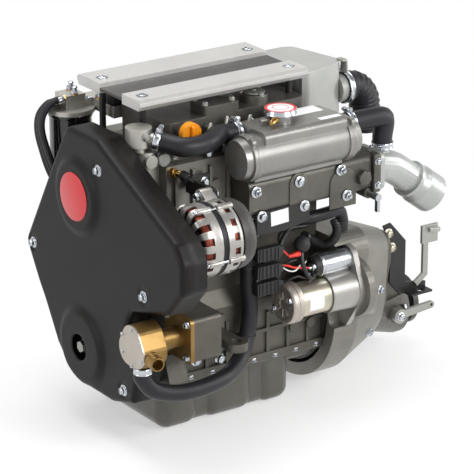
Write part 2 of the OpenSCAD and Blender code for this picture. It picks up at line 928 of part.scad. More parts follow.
// Flywheel housing: a bell with a shoulder on the service side, cut out for the starter
module flywheel_housing() {
  color(paint) difference() {
    union() {
      hull() {
        move(block_end, 0, 0) xcyl(bell_r, bell_l * 0.36, $fn = 64);
        move(block_end, bell_corner[0], bell_corner[1]) xcyl(bell_corner_r, bell_l * 0.5, $fn = 32);
        move(block_end + bell_l - bell_wall, bell_shoulder[0], bell_shoulder[1])
          xcyl(bell_shoulder_r, bell_wall, $fn = 32);
        move(block_end + bell_l - bell_wall, 0, 0) xcyl(bell_end_r, bell_wall, $fn = 64);
      }
      hull() {
        move(starter_face, starter_y, starter_z) xcyl(bell_pad_r, case_wall, $fn = 32);
        move(starter_face, -bell_end_r, 0) xcyl(bell_pad_r / 2, bell_l * 0.5, $fn = 32);
      }
      move(water_hose_end[0], water_hose_end[1], bell_corner[1])
        cylinder(r = small_stub_r, h = water_hose_end[2] - bell_corner[1] + stub_l);
    }
    move(block_end - cut, 0, 0) xcyl(flywheel_r + rib_t, bell_l * 0.36 + cut);
    move(block_end, 0, 0) xcyl(crank_tail_r * 2, bell_l - bell_wall * 2);
    move(block_end - cut, 0, 0) xcyl(output_shaft_r + fit, bell_l + 2 * cut);
    move(block_end - cut, 0, 0) slab_x(starter_face - block_end + cut) starter_outline(gap);
    move(starter_face - cut, starter_y, starter_z) xcyl(yoke_r * 0.8, case_wall * 2);
  }
}

// Gearbox: a tapered case with a nose for the output shaft and a side hub for the lever
module gearbox_case() {
  box_x = block_end + bell_l;
  color(iron) difference() {
    union() {
      hull() {
        move(box_x, box_y, 0) xcyl(box_r, flange_t, $fn = 48);
        move(box_x + (box_end - box_x) * 0.55, box_y, output_z * 0.45)
          xcyl(box_r * 0.78, flange_t, $fn = 48);
        move(box_end - flange_t, box_y, output_z) xcyl(box_tail_r, flange_t, $fn = 48);
      }
      hull() {
        move(box_x, bell_shoulder[0], bell_shoulder[1]) xcyl(bell_shoulder_r * 0.8, flange_t, $fn = 32);
        move(box_x, box_y, 0) xcyl(box_r * 0.9, box_plate_t, $fn = 48);
      }
      move(lever_x, -box_r * 0.5, lever_z) ycyl(lever_hub_r, -lever_y - box_r * 0.5 - gap);
    }
    move(bracket_x - cut, bracket_y - box_r, bracket_z - cut) cube([bracket_w, box_r + gap, bracket_h]);
    move(box_x + bell_wall, 0, output_z) xcyl(output_shaft_r + fit, box_end - box_x);
    move(lever_x, -box_r * 0.5, lever_z) ycyl(lever_shaft_r + fit, box_r);
  }
}

module output_flange() {
  color(iron) difference() {
    union() {
      move(box_end - output_shaft_l, 0, output_z) xcyl(output_shaft_r, output_shaft_l + cut);
      move(box_end + gap, 0, output_z) xcyl(flange_hub_r, flange_face_x - box_end - flange_t);
      move(flange_face_x - flange_t, 0, output_z) xcyl(flange_r, flange_t);
      move(flange_face_x - cut, 0, output_z) xcyl(pilot_r, pilot_t + cut);
    }
    for (i = [0 : 3]) {
      move(flange_face_x - flange_t - cut, 0, output_z) rotate([45 + 90 * i, 0, 0])
        move(0, 0, flange_pcd / 2) xcyl(flange_hole_r, flange_t + 2 * cut);
    }
  }
}

module shift_lever() {
  color(steel) difference() {
    union() {
      move(lever_x, lever_y, lever_z) ycyl(lever_hub_r * 0.85, lever_t * 1.6);
      move(lever_x, lever_y + lever_shaft_l, lever_z) ycyl(lever_shaft_r, lever_shaft_l + cut);
      move(lever_x, lever_y, lever_z) slab_y(lever_t)
        polygon([[0, -lever_w / 2], [lever_l, lever_rise - lever_tip_r],
          [lever_l, lever_rise + lever_tip_r], [0, lever_w / 2]]);
      move(lever_x + lever_l, lever_y, lever_z + lever_rise) ycyl(lever_tip_r, lever_t);
    }
    move(lever_x + lever_l, lever_y + cut, lever_z + lever_rise) ycyl(lever_hole_r, lever_t + 2 * cut);
  }
}

// Cable bracket: a pressed plate with a shelf for the cable clamp
module cable_bracket() {
  pts = [for (s = bracket_shares) share_point(s, bracket_w, bracket_h)];
  color(black) difference() {
    union() {
      move(bracket_x, bracket_y, bracket_z) slab_y(bracket_t) polygon(pts);
      move(bracket_x + bracket_w * 0.52, bracket_y - bracket_shelf, bracket_z)
        cube([bracket_w * 0.48, bracket_shelf, bracket_t]);
    }
    move(bracket_x + bracket_w * 0.8, bracket_y - bracket_shelf / 2, bracket_z - cut)
      cylinder(r = bracket_shelf / 4, h = bracket_t + 2 * cut);
    move(bracket_x + bracket_w * 0.1, bracket_y + cut, bracket_z + bracket_h * 0.9)
      ycyl(bolt_r, bracket_t + 2 * cut);
  }
}

module cable_arm() {
  bend_x = arm_x + arm_bend_l * cos(arm_slope);
  bend_z = arm_z + arm_bend_l * sin(arm_slope);
  half = [sin(arm_slope), cos(arm_slope)] * arm_w / 2;
  color(steel) move(0, bracket_y - bracket_t, 0) {
    slab_y(arm_t) polygon([[arm_x - half[0], arm_z + half[1]], [bend_x - arm_w, bend_z],
      [bend_x - arm_w, bend_z + arm_l], [bend_x, bend_z + arm_l], [bend_x, bend_z - half[1]],
      [arm_x + half[0], arm_z - half[1]]]);
    move(bend_x - arm_w * 1.6, -arm_t - arm_plate[1] + cut, bend_z + arm_l - arm_plate[2] * 0.6)
      cube(arm_plate);
  }
}

// Top rails: thick plates with a chamfered outer edge and dished bolt holes
module rail(y, w, outer, bolt_y) {
  difference() {
    move(rail_x, y, rail_top - rail_t) rotate([90, 0, 90]) linear_extrude(rail_l)
      polygon(outer < 0
        ? [[0, rail_t * 0.4], [0, rail_t - rail_chamfer], [rail_chamfer, rail_t], [w, rail_t], [w, 0],
          [rail_chamfer, 0]]
        : [[0, 0], [0, rail_t], [w - rail_chamfer, rail_t], [w, rail_t - rail_chamfer], [w, rail_t * 0.4],
          [w - rail_chamfer, 0]]);
    for (x = post_xs) {
      move(x, bolt_y, rail_top - dish_deep) cylinder(r = dish_r, h = dish_deep + cut);
      move(x, bolt_y, rail_top - rail_t - cut) cylinder(r = bolt_r + gap, h = rail_t + 2 * cut);
    }
  }
}

module top_rails() {
  color(steel) {
    rail(front_rail_y, front_rail_w, -1, post_ys[0]);
    rail(back_rail_y, back_rail_w, 1, post_ys[1]);
  }
}

module centre_panel() {
  color(black) move(rail_x, front_rail_y + front_rail_w, rail_top - panel_drop - panel_t)
    cube([rail_l, back_rail_y - front_rail_y - front_rail_w, panel_t]);
}

// Posts under the rails: the front pair on blocks at the head's front face
module rail_posts() {
  color(black) {
    for (x = post_xs) {
      for (y = post_ys) {
        front = x < head_x;
        foot = front ? head_top - post_block : (y < 0 ? rocker_top : head_top);
        move(x, y, foot) cylinder(r = post_r, h = rail_top - rail_t - foot);
        if (front) {
          move(x - post_r, y - post_foot_r, head_top - post_block)
            cube([head_x - gap - x + post_r, 2 * post_foot_r, post_block - gap]);
        }
      }
    }
  }
}

// Air intake: silencer box, outlet stub and rubber elbow
module intake_silencer() {
  pts = [for (s = silencer_shares) share_point(s, silencer_l, silencer_w)];
  radii = [for (i = [0 : len(pts) - 1]) i < 1 || i > 5 ? 0 : silencer_round];
  color(paint) difference() {
    union() {
      move(silencer_x, silencer_y, silencer_low) linear_extrude(silencer_high - silencer_low)
        round_outline(pts, radii);
      move(silencer_x + silencer_l * 0.9, duct_y, duct_z)
        xcyl(duct_r - gap, silencer_l * 0.1 + duct_stub);
      move(head_x + head_l + gap, silencer_y + silencer_w / 4, silencer_low)
        cube([silencer_x - head_x - head_l, silencer_w / 2, head_top - silencer_low - gap]);
    }
    move(silencer_x + silencer_l * 0.9 + duct_wall, duct_y, duct_z)
      xcyl(duct_r - duct_wall - gap, silencer_l * 0.1 + duct_stub);
  }
}

module duct_ring() {
  difference() {
    circle(duct_r + duct_wall);
    circle(duct_r);
  }
}

module intake_elbow() {
  x0 = silencer_x + silencer_l + gap;
  x1 = x0 + elbow_bend * 0.45;
  color(black) {
    move(x0, duct_y, duct_z) rotate([0, 90, 0]) linear_extrude(x1 - x0) duct_ring();
    move(x1, duct_y, duct_z - elbow_bend) rotate([90, 0, 0])
      rotate_extrude(angle = 90) move(elbow_bend, 0) duct_ring();
    move(x1 + elbow_bend, duct_y, duct_z - elbow_drop) linear_extrude(elbow_drop - elbow_bend)
      duct_ring();
  }
}

module intake_manifold() {
  color(paint) {
    move(intake_x, intake_y, intake_z) rotate([90, 0, 90]) linear_extrude(intake_l)
      round_rect(intake_w, intake_h, ex_round);
    for (i = [0 : 2]) {
      move(bore_x(i), intake_y + ex_round, intake_z + intake_h / 2)
        ycyl(runner_r, intake_y + ex_round - head_in);
    }
  }
}

// Heat exchanger: barrel with a header tank, filler neck, end flanges and saddle
module exchanger_body() {
  color(paint) difference() {
    union() {
      move(cooler_x, cooler_y, cooler_z) xcyl(cooler_r, cooler_l);
      for (x = [cooler_x, cooler_x + cooler_l - cooler_flange_t]) {
        move(x, cooler_y, cooler_z) xcyl(cooler_flange_r, cooler_flange_t);
      }
      move(tank_x, -tank_out, tank_low) slab_x(tank_l)
        round_rect(tank_out - tank_in, tank_top - tank_low, tank_round);
      move(neck_x, neck_y, tank_top - cut) cylinder(r = neck_r, h = neck_h + cut);
      move(tank_x, front_port_y, front_port_z) rotate([0, -90, 0]) cylinder(r = port_r, h = stub_l);
      move(cooler_x + cooler_flange_t, cooler_y - cooler_r * 0.4, ex_high)
        cube([cooler_l - 2 * cooler_flange_t, cooler_r * 0.9, saddle_h]);
      move(neck_x - neck_r + cut, neck_y, tank_top + neck_h * 0.5) rotate([0, -90, 0])
        cylinder(r = nipple_r, h = nipple_l);
    }
    move(cooler_x - cut, cooler_y, cooler_z) xcyl(cooler_r - cooler_wall, cooler_l + 2 * cut);
    move(neck_x, neck_y, tank_top + cut) cylinder(r = neck_bore_r, h = neck_h + cut);
  }
}

module exchanger_caps() {
  color(steel) {
    for (side = [0, 1]) {
      move(cooler_x - gap + side * (cooler_l + 2 * gap), cooler_y, cooler_z) mirror([1 - side, 0, 0]) {
        xcyl(cooler_flange_r, cooler_flange_t);
        xcone(cap_dome_r + cap_dome / 7, cap_dome_r, cap_dome);
        rotate([35, 0, 0]) move(0, 0, cooler_flange_r) xcyl(lug_r, cooler_flange_t);
        rotate([235, 0, 0]) move(0, 0, cooler_flange_r) xcyl(lug_r, cooler_flange_t);
      }
    }
    move(rear_port[0] - cap_dome / 2, rear_port_y, rear_port_z) xcyl(water_stub_r, cap_dome / 2 + stub_l);
  }
}

module coolant_cap() {
  z = tank_top + neck_h + gap;
  color(alloy) {
    move(neck_x, neck_y, z) cylinder(r1 = coolant_cap_r, r2 = coolant_cap_r - coolant_skirt_t,
      h = coolant_cap_t);
    move(neck_x, neck_y, z - coolant_plug_h) cylinder(r = neck_bore_r - gap, h = coolant_plug_h + cut);
    for (side = [-1, 1]) {
      move(neck_x + side * coolant_cap_r * 0.9 - coolant_skirt_t * 2, neck_y - coolant_skirt_t * 2, z)
        cube([coolant_skirt_t * 4, coolant_skirt_t * 4, coolant_cap_t * 0.7]);
    }
  }
}

// Exhaust manifold against the head, its rear flange, and the mixing elbow
module exhaust_manifold() {
  color(paint) difference() {
    union() {
      move(ex_x, -ex_out, ex_low) slab_x(ex_l - ex_flange_t)
        round_rect(ex_out - head_out - gap, ex_high - ex_low, ex_round);
      move(ex_x + ex_l - ex_flange_t, -ex_out - ex_round / 2, ex_low - ex_round / 4) slab_x(ex_flange_t)
        round_rect(ex_flange_w, ex_flange_h, ex_round);
      move(drain_x, -ex_out + 2 * ex_round, drain_z) ycyl(drain_body_r * 1.4, 2 * ex_round);
      move(sea_end[0], sea_end[1], ex_low - stub_l)
        cylinder(r = pump_port_r, h = stub_l + cut);
      for (s = ex_bolt_shares) {
        move(ex_x + s[0] * ex_l, -ex_out + cut, ex_low + s[1] * (ex_high - ex_low))
          ycyl(boss_r, rib_deep + cut);
      }
    }
    move(drain_x, -ex_out + ex_round + gap, drain_z) ycyl(drain_stem_r + fit, ex_round + gap + cut);
    move(ex_x + ex_l - case_wall * 2, ex_pipe_y, ex_pipe_z)
      xcyl(elbow_r - elbow_wall, case_wall * 2 + cut);
  }
}

module exhaust_elbow() {
  start = [ex_x + ex_l, ex_pipe_y, ex_pipe_z];
  bend_at = start + [elbow_run, 0, 0];
  down = [cos(elbow_turn), 0, -sin(elbow_turn)];
  tail = bend_at + down * elbow_tail;
  route = [start, start + [elbow_run * 0.5, 0, 0], bend_at + down * elbow_run * 0.5, tail + down * cut];
  color(alloy) {
    difference() {
      union() {
        move(start[0], -ex_out - ex_round / 2, ex_low - ex_round / 4) slab_x(ex_flange_t)
          round_rect(ex_flange_w, ex_flange_h, ex_round);
        sweep_bar(route, elbow_r, 24, 5);
        aim(tail - down * flare_l / 2, down) cylinder(r = bead_r, h = bead_t, center = true);
        aim(tail - down * flare_l / 2, down)
          cylinder(r1 = elbow_r, r2 = outlet_r, h = flare_l / 2 + cut / 10);
        aim(tail, down) cylinder(r = outlet_r, h = flare_l);
        translate(start + [elbow_run * 0.76, 0, 0])
          cylinder(r = water_stub_r, h = elbow_r + water_stub_l);
      }
      sweep_bar([start - [cut, 0, 0], start + [elbow_run * 0.5, 0, 0], bend_at + down * elbow_run * 0.5,
        tail], elbow_r - elbow_wall, 24, 5);
      aim(tail - down * cut, down) cylinder(r = outlet_r - elbow_wall, h = flare_l + 2 * cut);
      translate(start + [elbow_run * 0.76, 0, elbow_r * 0.5])
        cylinder(r = water_stub_r - elbow_wall, h = water_stub_l + elbow_r);
    }
  }
}

module drain_valve() {
  color(steel) {
    move(drain_x, -ex_out - gap, drain_z) ycyl(drain_body_r, drain_body_l);
    move(drain_x, -ex_out + ex_round, drain_z) ycyl(drain_stem_r, ex_round + gap + cut);
    move(drain_x - drain_arm[0] / 2, -ex_out - drain_body_l - gap, drain_z - drain_arm[2] / 2)
      mirror([0, 0, 1]) cube([drain_arm[0], drain_arm[2], drain_arm[1]]);
  }
}

// Thermostat housing at the front of the head, with its spout
module thermostat_housing() {
  column = [thermo_x + thermo_shift[0], thermo_y + thermo_shift[1]];
  color(steel) {
    move(column[0], column[1], thermo_low) cylinder(r = thermo_column_r, h = thermo_column_h);
    move(thermo_x, thermo_y, thermo_z - spout_r - rib_deep)
      cylinder(r = thermo_r, h = 2 * (spout_r + rib_deep));
    move(thermo_x, thermo_y, thermo_low + thermo_column_h - cut) cylinder(r = thermo_neck_r, h = spout_r);
    aim([thermo_x, thermo_y, thermo_z], spout_way) cylinder(r = spout_r, h = thermo_r + stub_l);
    move(column[0], column[1] - thermo_column_r + rib_deep, thermo_boss_z)
      ycyl(post_boss_r * 1.3, 2 * rib_deep);
    move(column[0], column[1], thermo_low) cube([head_x - gap - column[0], thermo_arm_w, thermo_arm_h]);
    move(cover_post_ends[1] + gap, cover_bolt_shares[1][0] * cover_w, cover_bolt_shares[1][1] * cover_h)
      xcyl(post_boss_r, column[0] - cover_post_ends[1]);
  }
}

// Coolant hoses, the sea-water hose from the pump, and the clamps on their ends
function hose_end(p, a) = [p, p + a * hose_grip / 2, p + a * hose_grip];
function back(list) = [for (i = [len(list) - 1 : -1 : 0]) list[i]];
function front_route() = concat(hose_end(spout_end, spout_way), front_hose_mids,
  back(hose_end(front_port, [-1, 0, 0])));
function rear_route() = concat(hose_end(rear_port, [1, 0, 0]), rear_hose_mids,
  back(hose_end(water_stub_top, [0, 0, 1])));
function sea_route() = concat(hose_end(sea_port, [0, 0, -1]), sea_hose_mids,
  back(hose_end(sea_end, [0, 0, -1])));
function water_route() = concat(hose_end(water_hose_start, [0, -1, 0]), water_hose_mids,
  back(hose_end(water_hose_end, [0, 0, 1])));

module coolant_hoses() {
  color(black) {
    sweep_tube(front_route(), hose_r, round_stub(port_r, hose_sides), hose_sides, 4);
    sweep_tube(rear_route(), rear_hose_r, round_stub(water_stub_r, hose_sides), hose_sides, 4);
    sweep_tube(water_route(), small_hose_r, round_stub(small_stub_r, hose_sides), hose_sides, 3);
  }
}

module seawater_hose() {
  color(black) sweep_tube(sea_route(), sea_hose_r, round_stub(pump_port_r, hose_sides), hose_sides, 4);
}

module hose_clamps() {
  inset_l = hose_grip * 0.3;
  color(alloy) {
    clamp(spout_end + spout_way * inset_l, spout_way, hose_r);
    clamp(front_port - [inset_l, 0, 0], [1, 0, 0], hose_r);
    clamp(rear_port + [inset_l, 0, 0], [1, 0, 0], rear_hose_r);
    clamp(water_stub_top + [0, 0, inset_l], [0, 0, 1], rear_hose_r);
    clamp(sea_port - [0, 0, inset_l], [0, 0, 1], sea_hose_r);
    clamp(sea_end - [0, 0, inset_l], [0, 0, 1], sea_hose_r);
    clamp([silencer_x + silencer_l + duct_stub * 0.6, duct_y, duct_z], [1, 0, 0], duct_r + duct_wall);
  }
}

// Alternator: two cast halves with vent slots, stator band, rear cover and bracket
module vent_slots(x, l) {
  for (i = [0 : slots - 1]) {
    move(x, alt_y, alt_z) rotate([360 * i / slots, 0, 0])
      move(-cut, -slot_w / 2, alt_r * slot_inner_share)
      cube([l + cut, slot_w, alt_r * (slot_outer_share - slot_inner_share)]);
  }
}

module side_slots(x, l) {
  for (i = [0 : slots_side - 1]) {
    move(x, alt_y, alt_z) rotate([360 * (i + 0.5) / slots_side, 0, 0])
      move(0, -slot_w / 2, alt_r - shell_t - cut) cube([l, slot_w, shell_t + 2 * cut]);
  }
}

module alternator_ear(p, x) {
  axis = [alt_y, alt_z];
  way = unit(p - axis);
  side = [-way[1], way[0]] * ear_r;
  foot = axis + way * (alt_r - shell_t / 2);
  move(x, 0, 0) slab_x(ear_t) {
    translate(p) circle(ear_r);
    polygon([p + side, foot + side, foot - side, p - side]);
  }
}

module alternator_housing() {
  rear_x = alt_x + half_l + stator_l;
  color(alloy) {
    difference() {
      union() {
        move(alt_x, alt_y, alt_z) xcyl(alt_r, half_l);
        alternator_ear([pivot_y, pivot_z], alt_x);
      }
      move(alt_x + shell_t, alt_y, alt_z) xcyl(alt_r - shell_t, half_l);
      move(alt_x - cut, alt_y, alt_z) xcyl(shaft_r + fit, shell_t + 2 * cut);
      vent_slots(alt_x, shell_t * 2);
      side_slots(alt_x + half_l * 0.3, half_l * 0.4);
      move(alt_x - cut, pivot_y, pivot_z) xcyl(bolt_r, ear_t + 2 * cut);
    }
    difference() {
      union() {
        move(rear_x, alt_y, alt_z) xcyl(alt_r, rear_l);
        alternator_ear([top_ear_y, top_ear_z], rear_x + rear_l - ear_t);
      }
      move(rear_x + rear_l - ear_t - cut, top_ear_y, top_ear_z) xcyl(bolt_r, ear_t + 2 * cut);
      move(rear_x - shell_t, alt_y, alt_z) xcyl(alt_r - shell_t, rear_l);
      move(rear_x - cut, alt_y, alt_z) xcyl(shaft_r + fit, rear_l + 2 * cut);
      side_slots(rear_x + rear_l * 0.3, rear_l * 0.4);
    }
  }
}

module alternator_stator() {
  color(black) move(alt_x + half_l, alt_y, alt_z)
    xring(alt_r - stator_drop, alt_r * 0.78, stator_l);
}

module alternator_cover() {
  rear_x = alt_x + half_l + stator_l + rear_l;
  color(black) difference() {
    move(rear_x, alt_y, alt_z) {
      xcyl(alt_r * 0.95, rear_cover_l * 0.7);
      xcone(alt_r * 0.95, alt_r * 0.8, rear_cover_l);
    }
    move(rear_x - cut, alt_y, alt_z) xcyl(alt_r * 0.8 - shell_t, rear_cover_l - shell_t);
  }
}

module alternator_rotor() {
  x0 = belt_x - pulley_rim;
  color(paint) move(0, alt_y, alt_z) {
    move(x0, 0, 0) xcyl(shaft_r, alt_x + half_l + stator_l + rear_l - x0);
    grooved_pulley(alt_pulley_r);
    move(alt_x + shell_t * 2, 0, 0) xcyl(fan_r * 0.9, fan_t / 2);
    for (i = [0 : fan_blades - 1]) {
      move(alt_x + shell_t * 2, 0, 0) rotate([360 * i / fan_blades, 0, 0])
        move(0, -blade_t / 2, fan_r * 0.45) cube([fan_t * 2, blade_t, fan_r * 0.5]);
    }
    move(alt_x + shell_t * 2 + fan_t * 3, 0, 0) xcyl(fan_r * 0.85, half_l * 0.9);
  }
}

// A multi-rib pulley: a turned rim with V grooves for the belt
module grooved_pulley(r) {
  pitch = belt_w / pulley_ribs;
  move(belt_x - pulley_rim, 0, 0) rotate([0, 90, 0]) rotate_extrude() polygon(concat(
    [[0, 0], [r + pulley_rim, 0], [r + pulley_rim, pulley_rim]],
    [for (i = [0 : pulley_ribs - 1]) each [[r, pulley_rim + i * pitch],
      [r - pulley_rib, pulley_rim + (i + 0.5) * pitch]]],
    [[r, pulley_rim + belt_w], [r + pulley_rim, pulley_rim + belt_w],
      [r + pulley_rim, 2 * pulley_rim + belt_w], [0, 2 * pulley_rim + belt_w]]));
}

// Upper bracket: a plate beside the ear, with a leg along the head's side
module alternator_bracket() {
  plate_x1 = alt_x + half_l + stator_l + rear_l + gap;
  color(black) difference() {
    union() {
      move(plate_x1, 0, 0) slab_x(rib_t) polygon([[top_ear_y - ear_r, strap_low],
        [top_ear_y - ear_r, strap_low + strap_h],
        [-strap_out, strap_low + strap_h], [-strap_out, strap_low]]);
      move(plate_x1, top_ear_y, top_ear_z) xcyl(ear_r, rib_t);
      move(plate_x1, -strap_out, strap_low) cube([strap_l, strap_t, strap_h]);
      move(plate_x1 + strap_l - boss_r * 1.2, -head_out - gap, strap_low + strap_h / 2)
        ycyl(boss_r, strap_out - head_out - gap);
    }
    move(plate_x1 - cut, top_ear_y, top_ear_z) xcyl(bolt_r, rib_t + 2 * cut);
    move(plate_x1 - cut, alt_y, alt_z) xcyl(alt_r * 0.95 + gap, strap_l);
  }
}

// Sea-water pump: brass body with ports, cover plate and rubber impeller
module pump_outline(r) {
  hull() {
    for (a = [90, 210, 330]) {
      move(r * 0.32 * cos(a), r * 0.32 * sin(a)) circle(r * 0.72, $fn = 32);
    }
  }
}

module sea_pump_body() {
  x1 = pump_x + pump_cover_t;
  color(brass) difference() {
    union() {
      move(x1, pump_y, pump_z) slab_x(pump_body_l) pump_outline(pump_r);
      move(x1 + pump_body_l - cut, pump_y, pump_z)
        xcyl(pump_neck_r, case_x - pump_flange_t - x1 - pump_body_l + 2 * cut);
      move(case_x - pump_flange_t, pump_y - pump_flange_w / 2, pump_z - pump_flange_h / 2)
        slab_x(pump_flange_t) round_rect(pump_flange_w, pump_flange_h, pocket_r);
      move(x1 + pump_body_l / 2, pump_y, pump_z - pump_r * 0.3) rotate([90, 0, -12]) {
        cylinder(r = pump_port_r, h = pump_port_l + pump_r * 0.5);
        cylinder(r = pump_port_r + pump_port_wall * 0.6, h = pump_r * 1.125);
      }
      move(sea_port[0], sea_port[1], sea_port[2] - stub_l) cylinder(r = pump_port_r, h = pump_r);
    }
    move(x1 - cut, pump_y, pump_z) xcyl(pump_bore_r, pump_body_l - case_wall / 2);
    move(x1 + pump_body_l / 2, pump_y, pump_z - pump_r * 0.3) rotate([90, 0, -12])
      cylinder(r = pump_port_r - pump_port_wall, h = pump_port_l + pump_r);
    move(sea_port[0], sea_port[1], sea_port[2] - stub_l - cut)
      cylinder(r = pump_port_r - pump_port_wall, h = pump_r);
    move(x1, pump_y, pump_z) xcyl(pump_shaft_r + fit, case_x - x1 + cut);
  }
}

module sea_pump_cover() {
  color(alloy) {
    move(pump_x, pump_y, pump_z) slab_x(pump_cover_t) pump_outline(pump_r);
    for (a = [30, 90, 150, 210, 270, 330]) {
      move(pump_x - screw_t, pump_y + pump_r * 0.85 * cos(a), pump_z + pump_r * 0.85 * sin(a))
        xcyl(screw_r, screw_t + cut / 10);
    }
  }
}

module sea_pump_impeller() {
  x1 = pump_x + pump_cover_t + gap;
  color(black) move(0, pump_y, pump_z) {
    move(x1, 0, 0) xcyl(impeller_hub_r, impeller_w);
    move(x1, 0, 0) xcyl(pump_shaft_r, case_x + case_t * 0.5 - x1);
    for (i = [0 : impeller_blades - 1]) {
      move(x1, 0, 0) rotate([360 * i / impeller_blades, 0, 0])
        move(0, -blade_t / 2, 0) cube([impeller_w, blade_t, pump_bore_r - gap]);
    }
  }
}

module coolant_pump_pulley() {
  color(iron) move(0, coolant_y, coolant_z) {
    grooved_pulley(coolant_pulley_r);
    move(belt_x, 0, 0) xcyl(idler_shaft_r, case_x + case_t * 0.3 - belt_x);
  }
}

module crank_pulley() {
  color(iron) difference() {
    union() {
      grooved_pulley(crank_pulley_r);
      move(belt_x, 0, 0) xcyl(pulley_hub_r, case_x - belt_x - gap);
    }
    move(0, 0, 0) xcyl(nose_r, case_x + cut);
  }
}

// The belt round crankshaft, coolant pump and alternator pulleys
module belt_round(r) {
  hull() {
    circle(crank_pulley_r + r, $fn = 64);
    move(coolant_y, coolant_z) circle(coolant_pulley_r + r, $fn = 64);
    move(alt_y, alt_z) circle(alt_pulley_r + r, $fn = 64);
  }
}

module drive_belt() {
  color(black) move(belt_x + gap, 0, 0) slab_x(belt_w - 2 * gap) difference() {
    belt_round(belt_t);
    belt_round(gap);
  }
}

// Crankshaft with three throws, and the flywheel on its tail
module crank_web(x, angle) {
  move(x, 0, 0) rotate([-angle, 0, 0]) slab_x(web_t) {
    circle(web_r);
    move(0, throw) circle(pin_web_r);
    move(-pin_web_r, 0) square([2 * pin_web_r, throw]);
    intersection() {
      circle(counter_r);
      move(-counter_r, -counter_r) square([2 * counter_r, counter_r * 0.75]);
    }
  }
}

module crankshaft() {
  web_at = (bore_pitch - wall_t) / 2 - web_gap - web_t;
  color(paint) {
    move(nose_end, 0, 0) xcyl(nose_r, block_x - nose_end + cut);
    move(nose_end - crank_bolt_t, 0, 0) xcyl(crank_bolt_r, crank_bolt_t + cut, $fn = 6);
    move(block_x - gap, 0, 0) xcyl(journal_r, bore_x(0) - web_at - web_t / 2 - block_x + gap);
    for (i = [0 : 2]) {
      crank_web(bore_x(i) - web_at - web_t, 120 * i);
      crank_web(bore_x(i) + web_at, 120 * i);
      move(bore_x(i) - web_at - cut, 0, 0) rotate([-120 * i, 0, 0]) move(0, 0, throw)
        xcyl(pin_r, 2 * (web_at + cut));
    }
    for (i = [0, 1]) {
      move(bore_x(i) + web_at + web_t / 2, 0, 0) xcyl(journal_r, bore_pitch - 2 * web_at - web_t);
    }
    move(bore_x(2) + web_at + web_t / 2, 0, 0)
      xcyl(journal_r, block_end - bore_x(2) - web_at - web_t / 2);
    move(block_end - crank_tail + gap, 0, 0) xcyl(crank_tail_r, crank_tail);
  }
}

module flywheel() {
  color(iron) {
    move(block_end + gap, 0, 0) xcyl(flywheel_r - ring_gear_deep, flywheel_t);
    move(block_end + gap, 0, 0) xcyl(flywheel_r, ring_gear_t);
  }
}

// Pistons stand at the heights that the crank throws give them
function pin_height(angle) = throw * cos(angle) + sqrt(rod_l * rod_l - pow(throw * sin(angle), 2));

module piston(i) {
  z = pin_height(120 * i);
  move(bore_x(i), 0, z) color(alloy) difference() {
    move(0, 0, -piston_skirt) cylinder(r = bore_r - fit, h = crown_h + piston_skirt);
    move(0, 0, -piston_skirt - cut) cylinder(r = bore_r - skirt_wall, h = piston_skirt + gudgeon_r + cut);
    for (k = [0 : 2]) {
      move(0, 0, crown_h - 3 * ring_w * (k + 1)) difference() {
        cylinder(r = bore_r, h = ring_w);
        cylinder(r = bore_r - ring_deep, h = ring_w);
      }
    }
    move(0, bore_r + cut, 0) ycyl(gudgeon_r, 2 * (bore_r + cut));
  }
}

module piston_1() {
  piston(0);
}

module piston_2() {
  piston(1);
}

module piston_3() {
  piston(2);
}

// Starter: end disc and yoke, drive housing, and the solenoid above
module starter_motor() {
  color(steel) {
    move(starter_x, starter_y, starter_z) xcyl(starter_r, end_disc_t);
    move(starter_x + end_disc_t - cut, starter_y, starter_z) xcyl(yoke_r, yoke_l + cut);
  }
}

module starter_outline(grow) {
  hull() {
    move(starter_y, starter_z) circle(yoke_r + shell_t * 2 + grow);
    move(starter_y + ear_r, starter_z - starter_r * 1.75) circle(ear_r + grow);
    move(coil_y, coil_z) circle(coil_r + shell_t + grow);
  }
}

module starter_housing() {
  x1 = starter_x + end_disc_t + yoke_l;
  color(steel) difference() {
    union() {
      move(x1, starter_y, starter_z) xcone(yoke_r + shell_t, yoke_r + shell_t * 1.5,
        starter_face - starter_flange_t - x1 + cut);
      move(starter_face - starter_flange_t, 0, 0) slab_x(starter_flange_t) starter_outline(0);
      move(starter_face - cut, starter_y, starter_z) xcyl(yoke_r * 0.8 - gap, case_wall);
    }
    move(x1 - cut, coil_y, coil_z)
      xcyl(coil_r + fit, starter_face - starter_flange_t - x1 + cut);
  }
}

module starter_solenoid() {
  color(alloy) {
    move(coil_x, coil_y, coil_z)
      xcyl(coil_r, starter_face - starter_flange_t - coil_x);
    move(coil_x - terminal_l, coil_y - terminal_l, coil_z + terminal_r)
      xcyl(terminal_r, terminal_l + cut);
    move(coil_x - terminal_l, coil_y + terminal_l, coil_z - terminal_r)
      xcyl(terminal_r, terminal_l + cut);
  }
}

// Fuel filter with its alloy head and hoses
module fuel_filter_can() {
  color(black) move(filter_x, filter_y, filter_top - filter_h) rotate_extrude()
    union() {
      square([filter_r - filter_round, filter_h]);
      move(0, filter_round) square([filter_r, filter_h - filter_round]);
      move(filter_r - filter_round, filter_round) intersection() {
        circle(filter_round);
        move(0, -filter_round) square([filter_round, 2 * filter_round]);
      }
    }
}

module fuel_filter_head() {
  z = filter_top + gap;
  color(alloy) {
    move(filter_x, filter_y, z) cylinder(r = filter_plate_r, h = filter_plate_t);
    move(filter_x - filter_head_w / 2, filter_y - filter_head_w / 2, z)
      cube([filter_head_w, filter_head_w, filter_head_h]);
    move(filter_x, filter_y - filter_arm[1] / 2, z) cube(filter_arm);
    move(filter_x + filter_arm[0] - filter_arm[1], filter_y - filter_reach, z)
      cube([filter_arm[1], filter_reach, filter_arm[2]]);
  }
}

